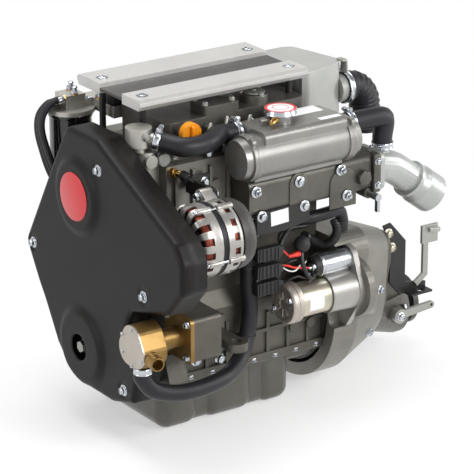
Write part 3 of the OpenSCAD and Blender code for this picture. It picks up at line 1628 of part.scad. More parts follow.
module fuel_hoses() {
  color(black) {
    for (s = fuel_starts) {
      p = [filter_x, filter_y, filter_top] + s;
      out = fuel_hose_out + s[2] * 0.5;
      sweep_bar([p, p + [-out * 0.5, 0, 0], p + [-out, 0, -out * 0.6],
        p + [-out * 0.95, -out * 0.1, fuel_hose_down * 0.5],
        p + [-out * 0.4, -out * 0.5, fuel_hose_down], p + [fuel_hose_end, -out, fuel_hose_down * 1.15]],
          fuel_hose_r, 10, 4);
    }
  }
}

// Wiring connectors and the black plate on the service side
module wiring_connectors() {
  back_x = connector_x + connector_size[0] * 0.45;
  back_y = connector_y + connector_size[1];
  plate_w = connector_size[0] * 0.55;
  low = connector_zs[2] - connector_size[2] / 2;
  color(black) {
    for (z = connector_zs) {
      move(connector_x, connector_y, z - connector_size[2] / 2) cube(connector_size);
    }
    move(back_x, back_y - cut, low) cube([plate_w, connector_back + cut, connector_zs[0] - low]);
    move(back_x, back_y, connector_zs[1]) cube([plate_w, -neck_out - gap - back_y, connector_back]);
  }
}

module label_plate() {
  color(black) move(plate_x, -ex_out - gap, plate_z)
    slab_y(plate_t) polygon([for (s = plate_shares) share_point(s, plate_l, plate_h)]);
}

// Oil filter, fuel rail with supply pump, and the dipstick on the intake side
module oil_filter() {
  color(black) {
    move(oil_filter_x, block_in + rib_deep + gap + oil_pad_l, oil_filter_z) ycyl(oil_pad_r, oil_pad_l);
    move(oil_filter_x, block_in + rib_deep + gap + oil_pad_l + oil_filter_l, oil_filter_z)
      ycyl(oil_filter_r, oil_filter_l + cut);
  }
}

module fuel_rail() {
  color(steel) {
    move(rail_x0, fuel_rail_y, fuel_rail_z) xcyl(rail_tube_r, fuel_rail_l);
    for (i = [0 : 2]) {
      move(bore_x(i), head_in, fuel_rail_z) rotate([-90, 0, 0])
        cylinder(r = rail_tube_r * 0.7, h = fuel_rail_y - head_in);
    }
    move(supply_x, supply_y, supply_z) xcyl(supply_r, supply_l);
    move(supply_x + supply_l / 2, supply_y, 0) {
      move(0, 0, supply_z + supply_r - cut)
        cylinder(r = pipe_r, h = fuel_rail_z - supply_z - supply_r + cut);
      move(0, 0, fuel_rail_z) sphere(r = pipe_r * 1.2);
      move(0, 0, fuel_rail_z) ycyl(pipe_r, supply_y - fuel_rail_y);
    }
  }
}

module dipstick() {
  color(orange) {
    move(dip_x, dip_y, dip_top) cylinder(r = dip_grip_r, h = dip_grip_r);
    move(dip_x, dip_y, dip_low + gap) cylinder(r = dip_blade_r, h = dip_top - dip_low);
  }
}

// Mount brackets with vertical eyes, one pair a side, and the lifting eyes
module mount_bracket(x, side) {
  mirror([0, side < 0 ? 0 : 1, 0]) difference() {
    union() {
      move(x - mount_foot[0] / 2, -mount_reach(side) - mount_foot[1], eye_z - mount_foot[2] * 0.75)
        cube(mount_foot);
      hull() {
        move(x - mount_foot[0] / 4, -mount_reach(side) - mount_foot[1], eye_z - eye_t)
          cube([mount_foot[0] / 2, mount_foot[1], eye_t]);
        move(x, eye_y, eye_z - eye_t) cylinder(r = eye_r * 0.8, h = eye_t, $fn = 32);
      }
      move(x, eye_y, eye_z - eye_t) cylinder(r = eye_r, h = eye_t);
    }
    move(x, eye_y, eye_z - eye_t - cut) cylinder(r = eye_hole_r, h = eye_t + 2 * cut);
  }
}
function mount_reach(side) = (side < 0 ? block_out : block_in) + rib_deep + gap;

module mount_brackets() {
  color(paint) {
    mount_bracket(eye_x, 1);
    mount_bracket(eye_x, -1);
  }
}

module lifting_eyes() {
  color(paint) {
    for (x = [lift_front_x, lift_back_x]) {
      difference() {
        move(x, head_in + lift_t + gap, head_top - lift_h) slab_y(lift_t) union() {
          move(-lift_r, 0) square([2 * lift_r, lift_h * 2]);
          move(0, lift_h * 2) circle(lift_r);
        }
        move(x, head_in + lift_t + gap + cut, head_top + lift_h) ycyl(lift_hole_r, lift_t + 2 * cut);
      }
    }
  }
}

module engine_bolts() {
  color(alloy) {
    for (i = [0 : 3]) {
      at = share_point(cover_bolt_shares[i], cover_w, cover_h);
      move(cover_step - washer_t, at[0], at[1]) xcyl(washer_r, washer_t);
      move(cover_step - washer_t - head_t, at[0], at[1]) xcyl(head_r, head_t);
      move(cover_step - cut, at[0], at[1]) xcyl(bolt_r - fit, cover_wall + 2 * cut);
      move(cover_step + cover_wall, at[0], at[1])
        xcyl(cover_post_r, cover_post_ends[i] - cover_step - cover_wall);
    }
    for (s = ex_bolt_shares) {
      bolt_head([ex_x + s[0] * ex_l, -ex_out - rib_deep, ex_low + s[1] * (ex_high - ex_low)], [0, -1, 0]);
    }
    for (x = post_xs) {
      for (y = post_ys) {
        move(x, y, rail_top - dish_deep) cylinder(r = head_r, h = dish_deep);
      }
    }
    for (s = plate_bolt_shares) {
      bolt_head([plate_x + s[0] * plate_l, -ex_out - plate_t - gap, plate_z + s[1] * plate_h],
        [0, -1, 0]);
    }
  }
}

module oil_filler_cap() {
  y = -rocker_out - filler_neck_l - gap;
  color(orange) {
    move(filler_x, y, filler_z) ycyl(filler_cap_r, filler_cap_t);
    move(filler_x - filler_grip[0] / 2, y - filler_cap_t - filler_grip[0], filler_z - filler_grip[2] / 2)
      cube([filler_grip[0], filler_grip[0] + cut, filler_grip[2]]);
  }
}

seat() cylinder_block();
seat() cylinder_head();
seat() rocker_cover();
seat() oil_pan();
seat() gear_case();
seat() belt_cover();
seat() cover_badge();
seat() flywheel_housing();
seat() gearbox_case();
seat() cable_bracket();
seat() cable_arm();
seat() top_rails();
seat() centre_panel();
seat() rail_posts();
seat() intake_silencer();
seat() intake_elbow();
seat() intake_manifold();
seat() exchanger_body();
seat() exchanger_caps();
seat() exhaust_manifold();
seat() exhaust_elbow();
seat() thermostat_housing();
seat() coolant_hoses();
seat() seawater_hose();
seat() hose_clamps();
seat() alternator_housing();
seat() alternator_stator();
seat() alternator_cover();
seat() alternator_bracket();
seat() sea_pump_body();
seat() sea_pump_cover();
seat() drive_belt();
seat() starter_motor();
seat() starter_housing();
seat() starter_solenoid();
seat() fuel_filter_can();
seat() fuel_filter_head();
seat() fuel_hoses();
seat() wiring_connectors();
seat() label_plate();
seat() oil_filter();
seat() fuel_rail();
seat() mount_brackets();
seat() lifting_eyes();
seat() engine_bolts();
seat() crankshaft();
seat() crank_pulley();
seat() flywheel();
seat() piston_1();
seat() piston_2();
seat() piston_3();
seat() coolant_pump_pulley();
seat() alternator_rotor();
seat() sea_pump_impeller();
seat() output_flange();
seat() shift_lever();
seat() coolant_cap();
seat() oil_filler_cap();
seat() dipstick();
seat() drain_valve();
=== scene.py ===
# %% [markdown]
# # A small marine diesel engine
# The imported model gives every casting, shaft and bracket at its true place. This script
# dresses it: each part gets the finish that the real one has, hoses and wires are laid as
# smooth tubes, and the many small screws, fins and fittings are modelled one by one.

# %% Load the engine
import math

import bmesh
import bpy
from mathutils import Matrix, Vector
from mathutils.bvhtree import BVHTree


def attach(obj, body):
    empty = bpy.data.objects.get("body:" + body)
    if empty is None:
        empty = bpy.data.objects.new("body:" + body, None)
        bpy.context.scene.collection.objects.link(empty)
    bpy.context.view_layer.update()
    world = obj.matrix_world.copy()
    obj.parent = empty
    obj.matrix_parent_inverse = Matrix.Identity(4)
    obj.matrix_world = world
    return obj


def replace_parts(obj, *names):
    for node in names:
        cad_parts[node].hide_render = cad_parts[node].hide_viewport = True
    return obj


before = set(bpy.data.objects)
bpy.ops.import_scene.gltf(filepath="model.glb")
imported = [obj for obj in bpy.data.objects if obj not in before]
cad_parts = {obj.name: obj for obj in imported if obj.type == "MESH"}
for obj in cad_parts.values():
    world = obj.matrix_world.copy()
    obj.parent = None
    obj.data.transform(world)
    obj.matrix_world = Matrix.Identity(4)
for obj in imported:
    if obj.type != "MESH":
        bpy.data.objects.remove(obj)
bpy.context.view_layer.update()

# %% [markdown]
# Everything on this engine is measured from the crankshaft's axis at the front face of the
# belt cover, in millimetres. One function turns such a measure into a point of the scene.

# %% Places on the engine
FROM_COVER = 250.0
CRANK_HEIGHT = 158.0
MM = 0.001


def at(x, y, z):
    """A point given in millimetres aft of the cover, across, and above the crankshaft."""
    return Vector(((x - FROM_COVER) * MM, y * MM, (z + CRANK_HEIGHT) * MM))


print("crankshaft at", tuple(round(v, 3) for v in at(0, 0, 0)))

# %% [markdown]
# The camera comes first. It looks down on the service side from the front corner with a long
# lens, as a studio photographer would, so that the parallel rails stay nearly parallel.

# %% Camera
CAMERA_SPOT = (-2.592, -3.894, 2.049)
TILT, TURN = 69.7, -34.65
FOCAL_MM, SENSOR_MM = 205.06, 36
camera = bpy.data.objects.new("camera", bpy.data.cameras.new("camera"))
bpy.context.collection.objects.link(camera)
camera.location = CAMERA_SPOT
camera.rotation_euler = (math.radians(TILT), 0, math.radians(TURN))
camera.data.lens = FOCAL_MM
camera.data.sensor_width = SENSOR_MM
camera.data.clip_end = 50
bpy.context.scene.camera = camera
bpy.context.scene.view_settings.view_transform = "Standard"
print("camera", tuple(camera.location))

# %% [markdown]
# ## Finishes
# Colours are written as the eye reads them, in sRGB hex, and one function turns them into the
# linear numbers that a shader works with. One more function adds a node with its settings and
# its links, so that each finish below reads as a short recipe.

# %% Colour and node helpers
def colour(code):
    """sRGB hex to linear RGBA."""
    parts = [int(code[i:i + 2], 16) / 255 for i in (1, 3, 5)]
    return [p / 12.92 if p <= 0.04045 else ((p + 0.055) / 1.055) ** 2.4 for p in parts] + [1]


def add(tree, kind, links=None, **settings):
    """Adds a node; settings are its properties or sockets, links are sockets fed by others."""
    made = tree.nodes.new(kind)
    for key, value in settings.items():
        if hasattr(made, key):
            setattr(made, key, value)
        else:
            made.inputs[key.replace("_", " ")].default_value = value
    for key, source in (links or {}).items():
        tree.links.new(source, made.inputs[key])
    return made


def surface(name):
    """An empty material with its shader and the coordinates of the piece."""
    made = bpy.data.materials.new(name)
    made.use_nodes = True
    tree = made.node_tree
    tree.nodes.clear()
    shader = add(tree, "ShaderNodeBsdfPrincipled")
    out = add(tree, "ShaderNodeOutputMaterial", {"Surface": shader.outputs[0]})
    place = add(tree, "ShaderNodeTexCoord").outputs["Object"]
    return made, tree, shader, place


def ramp(tree, source, stops):
    """Colours along a value: stops are (position, hex)."""
    made = add(tree, "ShaderNodeValToRGB", {"Fac": source})
    bar = made.color_ramp
    while len(bar.elements) < len(stops):
        bar.elements.new(0.5)
    for element, (position, code) in zip(bar.elements, stops):
        element.position = position
        element.color = colour(code)
    return made.outputs["Color"]


# %% [markdown]
# Most of the engine is cast iron or cast alloy under metallic paint. Sand casting leaves a
# grain of about a millimetre, the paint evens it out, and handling leaves soft clouds a few
# centimetres wide. The edges are rounded by the mould, and the shader's bevel shows that.

# %% Cast, painted and moulded finishes
CLOUD_MM = 60.0


def grained(name, dark, light, metallic, rough, grain_mm, depth_mm, round_mm=0.0,
            cloud_mm=CLOUD_MM, rough_spread=0.06, coat=0.0, stretch=(1, 1, 1),
            mirror=0.5):
    """A finish with colour clouds and a fine grain, both sized in millimetres."""
    made, tree, shader, place = surface(name)
    spread = add(tree, "ShaderNodeMapping", {"Vector": place}, Scale=stretch).outputs[0]
    clouds = add(tree, "ShaderNodeTexNoise", {"Vector": place}, Scale=1000 / cloud_mm,
                 Detail=4.0, Roughness=0.6).outputs["Fac"]
    grain = add(tree, "ShaderNodeTexNoise", {"Vector": spread}, Scale=1000 / grain_mm,
                Detail=2.0, Roughness=0.5).outputs["Fac"]
    base = ramp(tree, clouds, [(0.3, dark), (0.7, light)])
    tree.links.new(base, shader.inputs["Base Color"])
    shader.inputs["Metallic"].default_value = metallic
    shader.inputs["Coat Weight"].default_value = coat
    shader.inputs["Specular IOR Level"].default_value = mirror
    gloss = add(tree, "ShaderNodeMapRange", {"Value": grain}, From_Min=0.3, From_Max=0.7,
                To_Min=rough - rough_spread, To_Max=rough + rough_spread).outputs[0]
    tree.links.new(gloss, shader.inputs["Roughness"])
    bump = add(tree, "ShaderNodeBump", {"Height": grain}, Distance=depth_mm * MM, Strength=1.0)
    if round_mm:
        bevel = add(tree, "ShaderNodeBevel", samples=4, Radius=round_mm * MM)
        tree.links.new(bevel.outputs[0], bump.inputs["Normal"])
    tree.links.new(bump.outputs[0], shader.inputs["Normal"])
    return made


# %% The finishes of this engine
# The block, gear case and mount brackets take the engine's one metallic paint made darker, as painted shade.
shaded_cast_paint = grained("metallic_paint_with_painted_shade", "#524F48", "#636058", 0.55, 0.42, 1.6,
                     0.10, 2.2)
# The head, intake manifold and flywheel housing take the same paint made lighter, as painted light.
lit_head_paint = grained("metallic_paint_with_painted_light", "#75736C", "#85837B", 0.55, 0.40,
                     1.4, 0.08, 1.6)
# The pan's and gearbox's paints are the same paint made darker as painted shade; the gearbox copy also covers
# the rocker cover and exhaust manifold.
shaded_pan_paint = grained("satin_paint_on_pressed_steel_with_painted_shade", "#54534E", "#62615B", 0.5, 0.38, 0.9, 0.03, 1.5)
shaded_gearbox_paint = grained("satin_paint_on_alloy_with_painted_shade", "#56544E", "#65635C", 0.55, 0.38, 1.4,
                        0.08, 2.5)
tank_paint = grained("silver_grey_paint_on_alloy", "#8A8986", "#979691", 0.7, 0.34, 0.8, 0.05, 2.6)
box_paint = grained("smooth_grey_paint", "#A5A6A2", "#B0B1AD", 0.35, 0.36, 0.7, 0.02, 1.5)
bare_alloy = grained("bare_die_cast_alloy", "#B9B6AE", "#C9C7C0", 0.75, 0.42, 0.9, 0.06, 1.2)
pale_alloy = grained("tumbled_die_cast_alloy", "#A5A29D", "#B4B1AC", 0.75, 0.34, 0.8, 0.04, 1.0)
outlet_alloy = grained("bead_blasted_alloy", "#A9ABA9", "#B5B7B5", 0.6, 0.38, 0.6, 0.02, 0.8)
brass_cast = grained("cast_brass", "#7E6335", "#9B7D4C", 0.8, 0.40, 1.0, 0.06, 1.0)
brass_turned = grained("turned_brass", "#C29A55", "#D3AE6C", 1.0, 0.24, 0.5, 0.01, 0.3)
pump_plate = grained("machined_nickel_bronze", "#B3ABA2", "#C0B9B0", 0.8, 0.42, 0.4, 0.01, 0.4)
bright_zinc = grained("bright_zinc_plate", "#B9BEC4", "#D2D6DA", 1.0, 0.24, 0.8, 0.01, 0.3)
dull_zinc = grained("dull_zinc_plate", "#9A9A95", "#ABABA5", 0.7, 0.45, 0.8, 0.03, 0.6)
dark_iron = grained("machined_iron", "#4A4A47", "#5A5A56", 0.8, 0.40, 0.8, 0.03, 0.6)
turned_steel = grained("turned_steel", "#8B8B89", "#9F9F9C", 1.0, 0.30, 0.4, 0.01, 0.4)
anodised = grained("sanded_anodised_alloy", "#C2C1BE", "#CBCAC7", 0.55, 0.38, 0.5, 0.015, 1.0,
                   stretch=(0.12, 1, 1))
black_steel = grained("black_lacquer_on_steel", "#1C1B1B", "#262524", 0.1, 0.38, 0.9, 0.03, 0.8)
black_mould = grained("grained_black_moulding", "#100E0D", "#161312", 0.0, 0.44, 0.8, 0.05, 3.0,
                      mirror=0.22)
panel_mould = grained("smooth_dark_moulding", "#383533", "#3F3C3A", 0.0, 0.42, 0.6, 0.02, 0.6)
socket_mould = grained("connector_nylon", "#1C1C1D", "#252526", 0.0, 0.50, 0.6, 0.02, 0.5)
hose_rubber = grained("cloth_finish_hose_rubber", "#19191C", "#232327", 0.0, 0.46, 1.2, 0.05,
                      mirror=0.35)
boot_rubber = grained("soft_black_rubber", "#1B1B1C", "#232324", 0.0, 0.58, 1.0, 0.03, 0.6)
belt_rubber = grained("belt_rubber", "#151515", "#1E1E1E", 0.0, 0.62, 0.7, 0.03)
can_enamel = grained("gloss_black_enamel", "#0D0D0F", "#121214", 0.0, 0.20, 6.0, 0.01, 1.0,
                     coat=0.6)
orange_mould = grained("orange_polypropylene", "#F38E0C", "#FBA21E", 0.0, 0.34, 1.0, 0.02, 1.0)
red_gloss = grained("red_gloss_disc", "#C8101C", "#D01721", 0.0, 0.34, 4.0, 0.005, 0.3, coat=0.4)
red_lacquer = grained("lacquered_copper_winding", "#5E2318", "#8A3A26", 0.5, 0.30, 2.0, 0.02)
red_sleeve = grained("red_cable_sleeve", "#D6281C", "#E5382A", 0.0, 0.40, 1.0, 0.01)
label_stock = grained("pale_label_stock", "#D9DBDB", "#E4E6E6", 0.0, 0.38, 3.0, 0.003)
ring_stock = grained("red_label_stock", "#C8262C", "#D23238", 0.0, 0.38, 3.0, 0.003)
laminations = grained("lacquered_laminations", "#1D1D20", "#2A2A2E", 0.5, 0.45, 0.8, 0.05, 0.3,
                      stretch=(1, 0.1, 0.1))
wire_black = grained("wire_sleeve", "#161617", "#202021", 0.0, 0.46, 1.0, 0.01)
print("finishes:", len(bpy.data.materials))

# %% [markdown]
# A passivated zinc band shifts from green over gold to pink where the film gets thicker. On
# the real starter that happens slowly round the band, so a wide noise drives a colour ramp.

# %% Passivated zinc
FILM_MM = 70.0
yellow_zinc, tree, shader, place = surface("yellow_passivated_zinc")
film = add(tree, "ShaderNodeTexNoise", {"Vector": place}, Scale=1000 / FILM_MM,
           Detail=1.0).outputs["Fac"]
tree.links.new(ramp(tree, film, [(0.32, "#A9ADA2"), (0.45, "#C9C5B0"), (0.56, "#CFC6B2"),
                                 (0.68, "#BFAFA8")]), shader.inputs["Base Color"])
shader.inputs["Metallic"].default_value = 0.9
shader.inputs["Roughness"].default_value = 0.3
print("made", yellow_zinc.name)

# %% [markdown]
# Each node of the model now takes its finish. A CAD node keeps its shape here; pieces that
# are soft or that need rounder forms are replaced further down.

# %% Finishes on the nodes
NODE_FINISH = {
    # The four paint rows are lit and shaded copies of one paint: the head row is lighter as painted light, the
    # others are darker as painted shade.
    shaded_cast_paint: ["cylinder_block", "gear_case", "mount_brackets"],
    lit_head_paint: ["cylinder_head", "intake_manifold", "flywheel_housing"],
    shaded_pan_paint: ["oil_pan"],
    shaded_gearbox_paint: ["gearbox_case", "rocker_cover", "exhaust_manifold"],
    tank_paint: ["exchanger_body", "exchanger_caps"],
    box_paint: ["intake_silencer"],
    outlet_alloy: ["exhaust_elbow"],
    bare_alloy: ["thermostat_housing", "fuel_filter_head"],
    pale_alloy: ["alternator_housing", "starter_housing"],
    brass_cast: ["sea_pump_body"],
    pump_plate: ["sea_pump_cover"],
    bright_zinc: ["drain_valve", "hose_clamps", "engine_bolts", "coolant_cap", "starter_solenoid"],
    dull_zinc: ["lifting_eyes", "fuel_rail", "cable_arm", "shift_lever"],
    dark_iron: ["crank_pulley", "coolant_pump_pulley", "flywheel", "output_flange"],
    turned_steel: ["crankshaft", "alternator_rotor", "starter_motor", "piston_1", "piston_2",
                   "piston_3"],
    anodised: ["top_rails"],
    black_steel: ["cable_bracket", "rail_posts", "alternator_bracket", "label_plate"],
    black_mould: ["belt_cover"],
    panel_mould: ["centre_panel", "alternator_cover"],
    socket_mould: ["wiring_connectors"],
    hose_rubber: ["coolant_hoses", "seawater_hose", "fuel_hoses"],
    boot_rubber: ["intake_elbow", "sea_pump_impeller"],
    belt_rubber: ["drive_belt"],
    can_enamel: ["fuel_filter_can", "oil_filter"],
    orange_mould: ["oil_filler_cap", "dipstick"],
    red_gloss: ["cover_badge"],
    laminations: ["alternator_stator"],
}
dressed = 0
for finish, names in NODE_FINISH.items():
    for name in names:
        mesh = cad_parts[name].data
        mesh.materials.clear()
        mesh.materials.append(finish)
        dressed += 1
print("dressed", dressed, "of", len(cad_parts))

# %% [markdown]
# ## Shaping tools
# Small fittings are lathe work, plate work or round bar, so three helpers make their blanks.
# A profile spun about an axis gives everything that was turned; a bevelled cube gives
# moulded blocks; a flat outline that is extruded and rounded gives everything cut from plate.

# %% Lathe
def lathe(profile, steps=28, ring=False):
    """Spins (radius, height) pairs in millimetres about the local Z axis."""
    shape = bmesh.new()
    line = [shape.verts.new((r * MM, 0, z * MM)) for r, z in profile]
    edges = [shape.edges.new(pair) for pair in zip(line, line[1:])]
    if ring:
        edges.append(shape.edges.new((line[-1], line[0])))
    bmesh.ops.spin(shape, geom=line + edges, cent=(0, 0, 0), axis=(0, 0, 1),
                   angle=math.tau, steps=steps, use_merge=True)
    bmesh.ops.remove_doubles(shape, verts=shape.verts, dist=1e-6)
    bmesh.ops.recalc_face_normals(shape, faces=shape.faces)
    return shape


# %% Block and slab
def rounded(shape, edges, round_mm, steps=2):
    """Rounds edges by a radius in millimetres."""
    bmesh.ops.bevel(shape, geom=list(edges), offset=round_mm * MM, offset_type="OFFSET",
                    affect="EDGES", segments=steps, profile=0.5, material=-1)
    return shape


def block(size, round_mm=0.0, steps=2):
    """A rounded block, centred on its place."""
    shape = bmesh.new()
    bmesh.ops.create_cube(shape, size=1)
    bmesh.ops.scale(shape, vec=[s * MM for s in size], verts=shape.verts)
    return rounded(shape, shape.edges, round_mm, steps) if round_mm else shape


def slab(outline, thick, round_mm=0.0, steps=2):
    """A flat outline raised along local Z, with its upper rim rounded."""
    shape = bmesh.new()
    foot = shape.faces.new([shape.verts.new((x * MM, y * MM, 0)) for x, y in outline])
    raised = bmesh.ops.extrude_face_region(shape, geom=[foot])["geom"]
    top = [v for v in raised if isinstance(v, bmesh.types.BMVert)]
    bmesh.ops.translate(shape, vec=(0, 0, thick * MM), verts=top)
    bmesh.ops.recalc_face_normals(shape, faces=shape.faces)
    if round_mm:
        rim = [e for e in shape.edges if all(v.co.z > thick * MM * 0.9 for v in e.verts)]
        rounded(shape, rim, round_mm, steps)
    return shape


# %% Hexagon and outline
def hexagon(across, height, round_mm=0.6):
    """A hexagon with its upper corners turned off; its foot is at height 0."""
    shape = bmesh.new()
    bmesh.ops.create_circle(shape, cap_ends=True, segments=6, radius=across * 0.577 * MM)
    outline = [(v.co.x / MM, v.co.y / MM) for v in shape.verts]
    shape.free()
    return slab(outline, height, round_mm, 2)


def arc(centre, radius, start, end, steps=8):
    """Points on an arc, in degrees, for outlines."""
    turns = [math.radians(start + (end - start) * k / steps) for k in range(steps + 1)]
    return [(centre[0] + radius * math.cos(t), centre[1] + radius * math.sin(t)) for t in turns]


# %% [markdown]
# A piece is put together from blanks that stand at places on the engine. When it is done it
# becomes an object at the origin, which rides on a body and takes its finish.

# %% Standing and joining
def stand(place, along, spin=0.0):
    """Local Z points along, the foot is at place; spin turns about it, in degrees."""
    turn = Vector(along).to_track_quat("Z", "Y").to_matrix().to_4x4()
    return Matrix.Translation(place) @ turn @ Matrix.Rotation(math.radians(spin), 4, "Z")


UPWARD, FORWARD, SIDEWAYS = (0, 0, 1), (-1, 0, 0), (0, -1, 0)


def moved(x, y, z):
    """To a point of the engine in millimetres, without a turn."""
    return Matrix.Translation(at(x, y, z))


def shifted(x=0.0, y=0.0, z=0.0):
    """A move in millimetres."""
    return Matrix.Translation((x * MM, y * MM, z * MM))


def join(into, part, where=Matrix.Identity(4)):
    """Puts a copy of one shape into another, at a place."""
    data = bpy.data.meshes.new("copy")
    part.to_mesh(data)
    data.transform(where)
    into.from_mesh(data)
    bpy.data.meshes.remove(data)
    return into


def put(into, part, where=Matrix.Identity(4)):
    """Puts a shape into another for the last time, and clears the blank away."""
    join(into, part, where)
    part.free()


made_pieces = {}


def finished(name, shape, finish, body="engine", sharp=35):
    """Turns a shape into a piece with smooth faces and crisp edges."""
    data = bpy.data.meshes.new(name)
    shape.to_mesh(data)
    shape.free()
    data.materials.append(finish)
    data.shade_smooth()
    data.set_sharp_from_angle(angle=math.radians(sharp))
    piece = bpy.data.objects.new(name, data)
    bpy.context.collection.objects.link(piece)
    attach(piece, body)
    made_pieces[name] = len(data.polygons)
    return piece


# %% [markdown]
# Hoses, pipes and wires all follow one smooth curve through a few points. Blender's curve
# gives the round section, and the points' own radius gives bulges and corrugations.

# %% Tubes along a route
def smooth_route(points, steps=8):
    """More points on one smooth curve through the given ones."""
    full = [Vector(p) for p in points]
    route = []
    for i in range(len(full) - 1):
        a, b, c, d = full[max(i - 1, 0)], full[i], full[i + 1], full[min(i + 2, len(full) - 1)]
        for t in [k / steps for k in range(steps)]:
            route.append(0.5 * (2 * b + (c - a) * t + (2 * a - 5 * b + 4 * c - d) * t * t
                                + (3 * b - a - 3 * c + d) * t ** 3))
    return route + [full[-1]]


def tube(points, radius, steps=8, swell=None, sides=5):
    """A round tube in millimetres; swell(k, count) scales the radius at point k."""
    data = bpy.data.curves.new("route", "CURVE")
    data.dimensions = "3D"
    data.bevel_depth = radius * MM
    data.bevel_resolution = sides
    data.use_fill_caps = True
    route = smooth_route(points, steps)
    line = data.splines.new("POLY")
    line.points.add(len(route) - 1)
    for k, point in enumerate(route):
        line.points[k].co = (*at(*point), 1)
        line.points[k].radius = swell(k, len(route)) if swell else 1.0
    holder = bpy.data.objects.new("route", data)
    mesh = bpy.data.meshes.new_from_object(holder)
    shape = bmesh.new()
    shape.from_mesh(mesh)
    bmesh.ops.remove_doubles(shape, verts=shape.verts, dist=1e-6)
    bpy.data.objects.remove(holder)
    bpy.data.meshes.remove(mesh)
    return shape


print("shaping tools ready")

# %% [markdown]
# ## Coolant and sea-water hoses
# These are moulded rubber with a fine cloth finish, pushed over stubs and held by worm-drive
# clamps. The clamp squeezes the rubber a little, so the hose is thinner under the band and
# ends in a small lip. The routes repeat the model's own, so that each hose stays in its place.

# %% Moulded hoses
def hose_end(place, along):
    """The last straight 24 mm of a hose on its stub."""
    return [Vector(place) + Vector(along) * s for s in (0, 12, 24)]


def squeezed(k, count, dip=0.035, length=5):
    """Thinner under the clamps at both ends."""
    near = min(k, count - 1 - k)
    return 1.0 - dip * math.sin(math.pi * min(near, length) / length)


spout_way = (0.6585, -0.7283, -0.1896)
front_hose = tube(hose_end((104.77, -96.76, 402.6), spout_way)
                  + [(143, -137, 393), (186, -138, 392), (216, -122, 393), (240, -104.5, 391)]
                  + hose_end((282.7, -103, 389), FORWARD)[::-1], 18, swell=squeezed)
rear_hose = tube(hose_end((494.6, -140, 374), (1, 0, 0)) + [(572, -138, 372), (588, -134, 362)]
                 + hose_end((583.92, -134, 307.7), UPWARD)[::-1], 19, swell=squeezed)
water_hose = tube([(392, -96.3, 203), (392, -108.3, 203), (392, -120.3, 203), (420, -134, 204),
                   (455, -136, 206), (486, -132, 204), (500, -124, 184.3), (500, -124, 172.3),
                   (500, -124, 160.3)], 12, swell=squeezed)
for name, shape in [("front_coolant_hose", front_hose), ("rear_coolant_hose", rear_hose),
                    ("bypass_hose", water_hose)]:
    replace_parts(finished(name, shape, hose_rubber), "coolant_hoses")

sea_hose = tube(hose_end((3, -210, 35), (0, 0, -1))
                + [(26, -214, -16), (90, -216, -34), (180, -196, -38), (245, -158, -30),
                   (276, -138, 6), (283.7, -135.5, 60), (280, -135.5, 115),
                   (281, -135, 170)]
                + hose_end((283, -135, 241.8), (0, 0, -1))[::-1], 15.5, swell=squeezed)
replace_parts(finished("sea_water_hose", sea_hose, hose_rubber), "seawater_hose")
print("hoses:", [n for n in made_pieces if "hose" in n])

# %% [markdown]
# ## Worm-drive clamps
# A clamp is a steel band with rolled edges, a pressed housing, and a screw whose hexagon
# sticks out at one side. All seven are the same parts at different sizes.

# %% Clamps
def clamp(radius, band=11.0):
    """A clamp about local Z, its screw across local X on the +Y side."""
    half = band / 2
    shape = lathe([(radius, -half), (radius + 1.1, -half - 0.5), (radius + 1.7, -half + 0.6),
                   (radius + 1.1, -half + 1.5), (radius + 1.1, half - 1.5),
                   (radius + 1.7, half - 0.6), (radius + 1.1, half + 0.5), (radius, half)],
                  44, ring=True)
    for k in range(-7, 8):
        if abs(k) > 2:
            slot_cut = block((0.9, 0.5, band * 0.55), 0.2, 1)
            turn = Matrix.Rotation(math.radians(k * 6.5), 4, "Z")
            put(shape, slot_cut, turn @ shifted(0, radius + 1.15, 0))
    parts = [(block((15, 6.5, band * 0.95), 1.6), shifted(0, radius + 4.2, 0)),
             (block((19, 1.6, band * 0.8), 0.5, 1), shifted(0, radius + 1.6, 0)),
             (lathe([(0, -10), (3.6, -10), (3.6, 9), (0, 9)], 16),
              shifted(0, radius + 5.6, 0) @ Matrix.Rotation(math.pi / 2, 4, "Y")),
             (lathe([(0, 9), (5, 9), (5, 10.2), (0, 10.2)], 18),
              shifted(0, radius + 5.6, 0) @ Matrix.Rotation(math.pi / 2, 4, "Y")),
             (hexagon(7.5, 5, 0.5),
              shifted(10, radius + 5.6, 0) @ Matrix.Rotation(math.pi / 2, 4, "Y"))]
    for part, where in parts:
        put(shape, part, where)
    return shape


CLAMPS = [
    ("spout_clamp", (104.77, -96.76, 402.6), spout_way, 7.2, 18, 0),
    ("tank_front_clamp", (282.7, -103, 389), FORWARD, 7.2, 18, 10),
    ("tank_rear_clamp", (494.6, -140, 374), (1, 0, 0), 7.2, 19, -10),
    ("outlet_clamp", (583.92, -134, 307.7), UPWARD, 7.2, 19, -60),
    ("pump_clamp", (3, -210, 35), (0, 0, -1), 7.2, 15.5, 62),
    ("sea_riser_clamp", (283, -135, 241.8), (0, 0, -1), 7.2, 15.5, 180),
    ("duct_clamp", (583.6, -14, 396), (1, 0, 0), 0, 30, -8),
]
for name, place, along, back, radius, spin in CLAMPS:
    shape = clamp(radius + 0.2)
    centre = at(*(Vector(place) + Vector(along) * back))
    shape.transform(stand(centre, along, spin))
    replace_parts(finished(name, shape, bright_zinc), "hose_clamps")
print("clamps:", len(CLAMPS))

# %% [markdown]
# ## Bolts
# A flange bolt's head is a hexagon on a round skirt, with a small dish forged into its top.
# A plain set screw stands on a loose washer. Both are used all over the engine.

